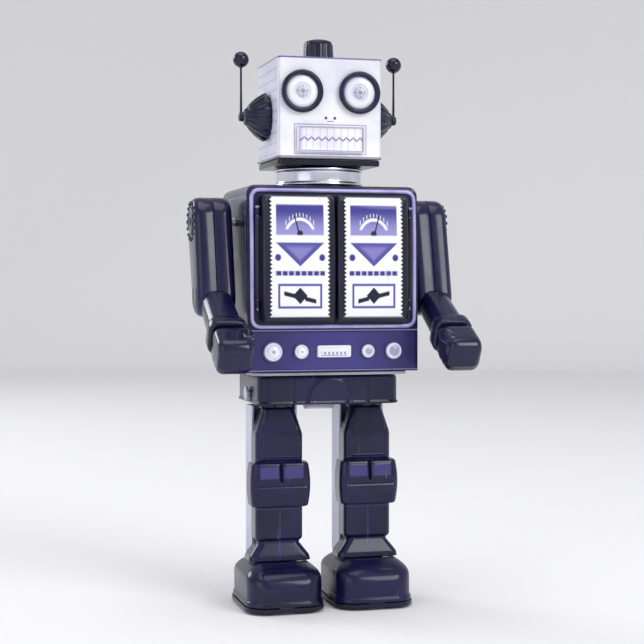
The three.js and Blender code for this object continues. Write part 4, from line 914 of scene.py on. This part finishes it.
def make_door(side, word):
    """A hollow pressed leaf with a rolled hinge knuckle; its pin is plain wire with a set head."""
    inner, outer, knuckle_half, strap_x = 0.3, 31, 17, 30.75
    _, _, middle, size = box_mm(f"{word}_door")
    leaf = panel((side * (inner + outer) / 2, middle[2]), (outer - inner, size[2]), 1.6, [
        (14, 4.55), (7, 4.55), (1.4, 4.5), (1, 4.1), (1, 1.1), (0.9, 0.88), (0.15, 0.88), (0, 1.1),
        (0, 3.9), (0.12, 4.6), (0.5, 5.15), (1.1, 5.42), (1.7, 5.45), (1.95, 5.3), (2.2, 5.3), (2.6, 5.45),
        (6, 5.56), (11, 5.6), (14, 5.6),
    ], chest_face, 240)
    foot, top = -knuckle_half, knuckle_half
    knuckle = turned(rounded_profile([
        (0.72, foot), (1.02, foot), (1.13, foot + 0.2), (1.13, top - 0.2), (1.02, top), (0.72, top), (0.72, foot),
    ], 0.1), 28, "z", (side * HINGE_X, HINGE_Y, middle[2]))
    foot, top = middle[2] - knuckle_half, middle[2] + knuckle_half
    strap = tower([
        (foot + 0.2, 1.1, -0.35, 0.35, 0.3), (foot, 1.25, -0.55, 0.55, 0.3),
        (top, 1.25, -0.55, 0.55, 0.3), (top - 0.2, 1.1, -0.35, 0.35, 0.3),
    ], 3, side * strap_x) + np.array([0, HINGE_Y, 0])
    piece(f"{word}_door_leaf_print", [leaf, opened(knuckle), strap],
          f"{word}_door_leaf", door_print, f"{word}_door", sharp=50)
    tidy_copy(f"{word}_door_pin", "torso", axle_steel, bevel=0.08)


def make_neck():
    """A bright collar with a rolled bead at each end."""
    low, high, _, size = box_mm("neck_collar")
    tall, r = size[2], high[0]
    collar = turned(rounded_profile([
        (r - 5, 0.1), (r - 1.2, 0), (r - 0.3, 0.35), (r, 0.9), (r - 0.25, 1.5), (r - 0.8, 1.8),
        (r - 0.85, 3.9), (r - 0.8, 6.2), (r - 0.25, 6.5), (r, 7.1), (r - 0.3, 7.65), (r - 1.2, tall),
        (r - 5, tall - 0.1), (r - 5, 0.1),
    ], 0.5), 128, "z", (0, 0, low[2]))
    piece("neck_ring", opened(collar), "torso", bright, "neck_collar", sharp=60)


def make_pelvis():
    """The hip pressing: rounded corners, a rolled hem, and one raised curl at the middle of its front."""
    low, high, _, _ = box_mm("pelvis_shell")
    foot, top, side_rows = low[2], high[2], 24
    z = np.concatenate([
        foot + np.array([0.9, 0, 0.15, 0.5, 1]), np.linspace(foot + 1.4, top - 1.6, side_rows),
        top - np.array([0.9, 0.35, 0.05, 0]),
    ])
    draw_in = np.concatenate([[1.1, 0.7, 0.15, 0, 0.1], np.full(side_rows, 0.45), [0.55, 1, 1.9, 3.2]])

    def curl(u, height):
        """A raised arc of a flattened circle, and a seam each side of it."""
        far = np.hypot(u, (height - foot - 0.5) / 1.15)
        return -0.42 * bump_at(far, 8.6, 1) + 0.3 * bump_at(np.abs(u), 16, 0.5)

    shell = pressed(z, high[0] - draw_in, low[1] + draw_in, high[1] - draw_in, 5, detail=curl, across=181)
    piece("pelvis_pressing", opened(shell, ends=(False, True)), "torso", navy, "pelvis_shell",
          sharp=45, wall=0.8)
    tidy_copy("hip_axle", "torso", silver, bevel=0.2)


# ---------------- arms

def along_forearm(points):
    """Points drawn hanging from the elbow, turned up to the forearm's line."""
    return tilt(np.asarray(points, float), FOREARM_TILT, (0, 0)) + ELBOW


def make_arm(side, word):
    """An arm is two moulded halves: the seam between them is a groove round its middle."""
    arm, x, half = f"{word}_arm", side * ARM_X, 8
    face_x, points, corner = x + side * half, 28, 7
    upper = lambda inset: stadium((0, SHOULDER_Z), ELBOW[1:], 10, 8.2, inset, points)
    shell = cushion(upper, half, 3.4, 2.6, corner, x)
    seam = [np.column_stack([np.full(2 * points, x + place), upper(inset)])
            for place, inset in ((-0.45, 0), (-0.2, 0.12), (0, 0.42), (0.2, 0.12), (0.45, 0))]
    shell = np.concatenate([shell[:corner], np.stack(seam), shell[corner:]])
    boss = turned(rounded_profile([
        (AXIS, -0.5), (5.9, -0.5), (5.9, 0.3), (5.4, 0.6), (4.9, 0.25), (3.4, 0.2), (2.9, 0.3), (AXIS, 0.3),
    ], 0.25), 56, "x", (face_x, 0, SHOULDER_Z), side)
    bead = turned([(0.85, -0.4), (0.84, 0.05), (0.7, 0.35), (0.45, 0.55), (AXIS, 0.62)], 16, "x", sign=side)
    beads, bead_r = 16, 7.7
    ring = [bead + np.array([face_x, bead_r * math.cos(a), SHOULDER_Z + bead_r * math.sin(a)])
            for a in np.arange(beads) * TAU / beads]
    dome = turned([(2.1, -0.2), (2.05, 0.2), (1.7, 0.48), (1.1, 0.64), (AXIS, 0.68)], 32, "x", sign=side)
    screw = dome * np.array([1, 0.62, 1]) + np.array([face_x, 0, SHOULDER_Z])
    elbow_rim = turned(rounded_profile([
        (AXIS, -0.5), (5.2, -0.5), (5.2, 0.1), (4.7, 0.32), (4.2, 0.1), (AXIS, 0.1),
    ], 0.2), 40, "x", (face_x, *ELBOW[1:]), side)
    piece(f"{word}_arm_moulding", [shell, boss, screw, elbow_rim, *ring], arm, plastic,
          f"{word}_upper_arm", sharp=55)

    # the forearm widens a little down to its cuff, which has a rounded rim
    down = np.concatenate([[5.3], np.linspace(6, 27.2, 16), [27.5, 27.8, 28, 28.3, 29, 32.6, 33.4, 33.8, 33.9]])
    grow = np.concatenate([[-0.8], np.linspace(0, 0.3, 16), [0.2, 0.1, 0.9, 1.25, 1.4, 1.4, 1.3, 0.9, 0.2]])
    u, v = rounded_rectangle(13.2 + 2 * grow, 12.6 + 2 * grow, np.where(down < 27.9, 5.4, 4.4))
    tube = np.stack([x + u, v, -np.repeat(down[:, None], u.shape[1], 1)], -1)
    piece(f"{word}_forearm_moulding", along_forearm(tube), arm, plastic,
          f"{word}_forearm", sharp=55)

    def fist(inset):
        """A rounded block with finger grooves 4 mm apart in its front, each the cusp of a power of |sin|."""
        u, v = rounded_rectangle(15 - 2 * inset, 17 - 2 * inset, 4.6 - 0.7 * inset, 10)
        across, run = evenly(np.stack([u[0], v[0]], -1), 128).T
        grooves = np.abs(np.sin(math.pi * (run + 7.9) / 4)) ** 0.6 - 1
        across = across + np.where(across > 0, 0.9 * grooves * step_up(across, 1.5, 4.5), 0)
        return np.stack([across, run - 42.8], -1)

    knuckle, tip = (-4.6, -39.4), (-6.4, -45.6)
    hand = cushion(fist, 7, 3.2, 2.4, 8, x)
    thumb = cushion(lambda inset: stadium(knuckle, tip, 2.8, 2.4, inset, 14), 2.3, 1.4, 1.3, 6, x - side * 5.8)
    piece(f"{word}_fist_moulding", [along_forearm(hand), along_forearm(thumb)],
          arm, plastic, f"{word}_hand", sharp=60)
    tidy_copy(f"{word}_arm_shaft", arm, steel, bevel=0.12)


# ---------------- legs

def eased(z, keys, values, soft=0.5):
    """Values read off straight lines between keys, averaged over a soft distance each way."""
    reach = np.linspace(-soft, soft, 5)
    return np.mean([np.interp(z + shift, keys, values) for shift in reach], axis=0)


def channel(loops, across):
    """The front and the two sides of pressed loops, open at the back."""
    return opened(np.concatenate([loops[:, -1:], loops[:, :across], loops[:, across:across + 1]], 1), False)


def make_leg(side, word):
    """A pressed shin with a knee guard round it, and a hollow shoe on a dark sole with rollers in it."""
    leg, x = f"{word}_leg", side * LEG_X
    low, high, _, _ = box_mm(f"{word}_leg_shell")
    z = np.concatenate([np.linspace(*span) for span in (
        (low[2], 30.5, 24), (31, 61.6, 24), (61.8, 64.2, 10), (65, 72, 6), (72.4, high[2], 12),
    )])
    heights = [19.9, 21.9, 27.4, 28.9, 73, 84.4]
    half = eased(z, heights, [13.3, 12.9, 8.7, 10.2, 10.2, 6.7])
    front = eased(z, heights, [-11.8, -11.6, -9.35, -10.45, -10.45, -8.9])

    def shin(u, height):
        """A crease up the middle, a lip over the knee guard, a bead by each edge and a drawn-in ankle."""
        crease = 0.5 * bump_at(u, 0, 0.55) * step_up(height, 30, 31.5) * (1 - step_up(height, 40, 41.5))
        lip = -0.75 * bump_at(height, 62.9, 0.5)
        side_bead = 0.28 * bump_at(np.abs(u), 7.2, 0.4) * step_up(height, 30, 31)
        return crease + lip + side_bead + 0.5 * bump_at(height, 28.2, 0.7)

    shell = pressed(z, half, front, -0.2, 3, x, shin, 121)
    piece(f"{word}_shin_pressing", channel(shell, 121), leg, limb_navy,
          f"{word}_leg_shell", sharp=45, wall=0.7)

    low, high, middle, size = box_mm(f"{word}_knee_guard")
    foot, top, mid = low[2], high[2], middle[2]
    z = np.concatenate([[foot, foot + 0.25, foot + 0.6], np.linspace(foot + 1, top - 1, 44),
                        [top - 0.6, top - 0.25, top]])
    bulge = 1 - ((z - mid) / (size[2] / 2)) ** 2
    hem = np.clip(1 - np.minimum(z - foot, top - z) / 0.6, 0, 1) ** 2 * 0.35

    def plates(u, height):
        """Two raised pads on the upper half, a groove between them and a brow line under them."""
        up, out = step_up(height, mid + 0.6, mid + 1.6), np.abs(u)
        pads = up * (1 - step_up(height, top - 1.6, top - 0.8)) * step_up(out, 1, 1.7)
        brow = 0.4 * bump_at(height, mid - 0.6, 0.4) - 0.12 * bump_at(height, mid - 4.5, 2.2)
        return 1.25 * bump_at(u, 0, 0.5) * up - 0.32 * pads * (1 - step_up(out, 9, 9.8)) + brow

    guard = pressed(z, 12.1 + 0.85 * bulge - hem, -12.75 - 0.95 * bulge + hem, -3.6, 3.2, x, plates, 141)
    piece(f"{word}_knee_pressing", channel(guard, 141), leg, limb_navy,
          f"{word}_knee_guard", sharp=45, wall=1.2)

    # the shoe rises from a welt to a domed toe: each outline draws in as a power of the height
    low, high, _, _ = box_mm(f"{word}_shoe")
    foot, dome = low[2], np.linspace(0.03, 1, 18) * math.pi / 2
    z = np.concatenate([foot + np.array([0, 0.3, 1.7, 2, 2.25]), np.linspace(foot + 2.7, 13, 10),
                        high[2] - 6.4 * (1 - np.sin(dome))])
    risen = lambda start, height, power: np.clip((z - start) / height, 0, 1) ** power
    welt = 0.45 * step_up(z, foot + 1.7, foot + 2.25)
    half = 16.5 - welt - 4.9 * risen(13.2, 6.4, 2.2)
    toe = -26 + welt + 8.6 * risen(9.6, 10, 2.5)
    heel = 16 - welt - 5.6 * risen(12.6, 7, 2.5)
    keys = np.stack([z, half, toe, heel, 9 - 2.2 * risen(12, 7.6, 1)], -1)
    keys = np.vstack([keys, keys[-1] - [0, 1.2, -1.2, 1.2, 0.4], keys[-1] - [0, 3.4, -3.4, 3.4, 2]])
    piece(f"{word}_shoe_pressing", opened(tower(keys, 10, x), ends=(False, True)),
          leg, navy, f"{word}_shoe", sharp=50, wall=0.9)
    tidy_copy(f"{word}_sole", leg, ink, bevel=0.25)
    tidy_copy(f"{word}_leg_lever", leg, silver, bevel=0.15)
    for place in ("front", "rear"):
        tidy_copy(f"{word}_{place}_roller", f"{word}_{place}_wheel", axle_steel, bevel=0.15)


# ---------------- clockwork

def make_motor():
    """The stamped plates, wheels and shafts behind the chest doors, the key and the stop."""
    for node, body, material, slot, bevel in (
        ("motor_frame", "torso", steel, "steel", 0.12), ("motor_back_plate", "torso", steel, "steel", 0.12),
        ("mainspring", "torso", spring_steel, "steel", 0), ("great_wheel", "great", brass, "brass", 0),
        ("intermediate_wheel", "intermediate", brass, "brass", 0),
        ("crankshaft", "crank", axle_steel, "steel", 0.08), ("governor", "fly", steel, "steel", 0.08),
        ("winding_key", "key", silver, "silver_tin", 0.35), ("stop_lever", "stop", steel, "steel", 0.2),
    ):
        tidy_copy(node, body, material, bevel=bevel)


make_head()
make_chest()
for side, word in SIDES:
    make_door(side, word)
make_neck()
make_pelvis()
for side, word in SIDES:
    make_arm(side, word)
for side, word in SIDES:
    make_leg(side, word)
make_motor()
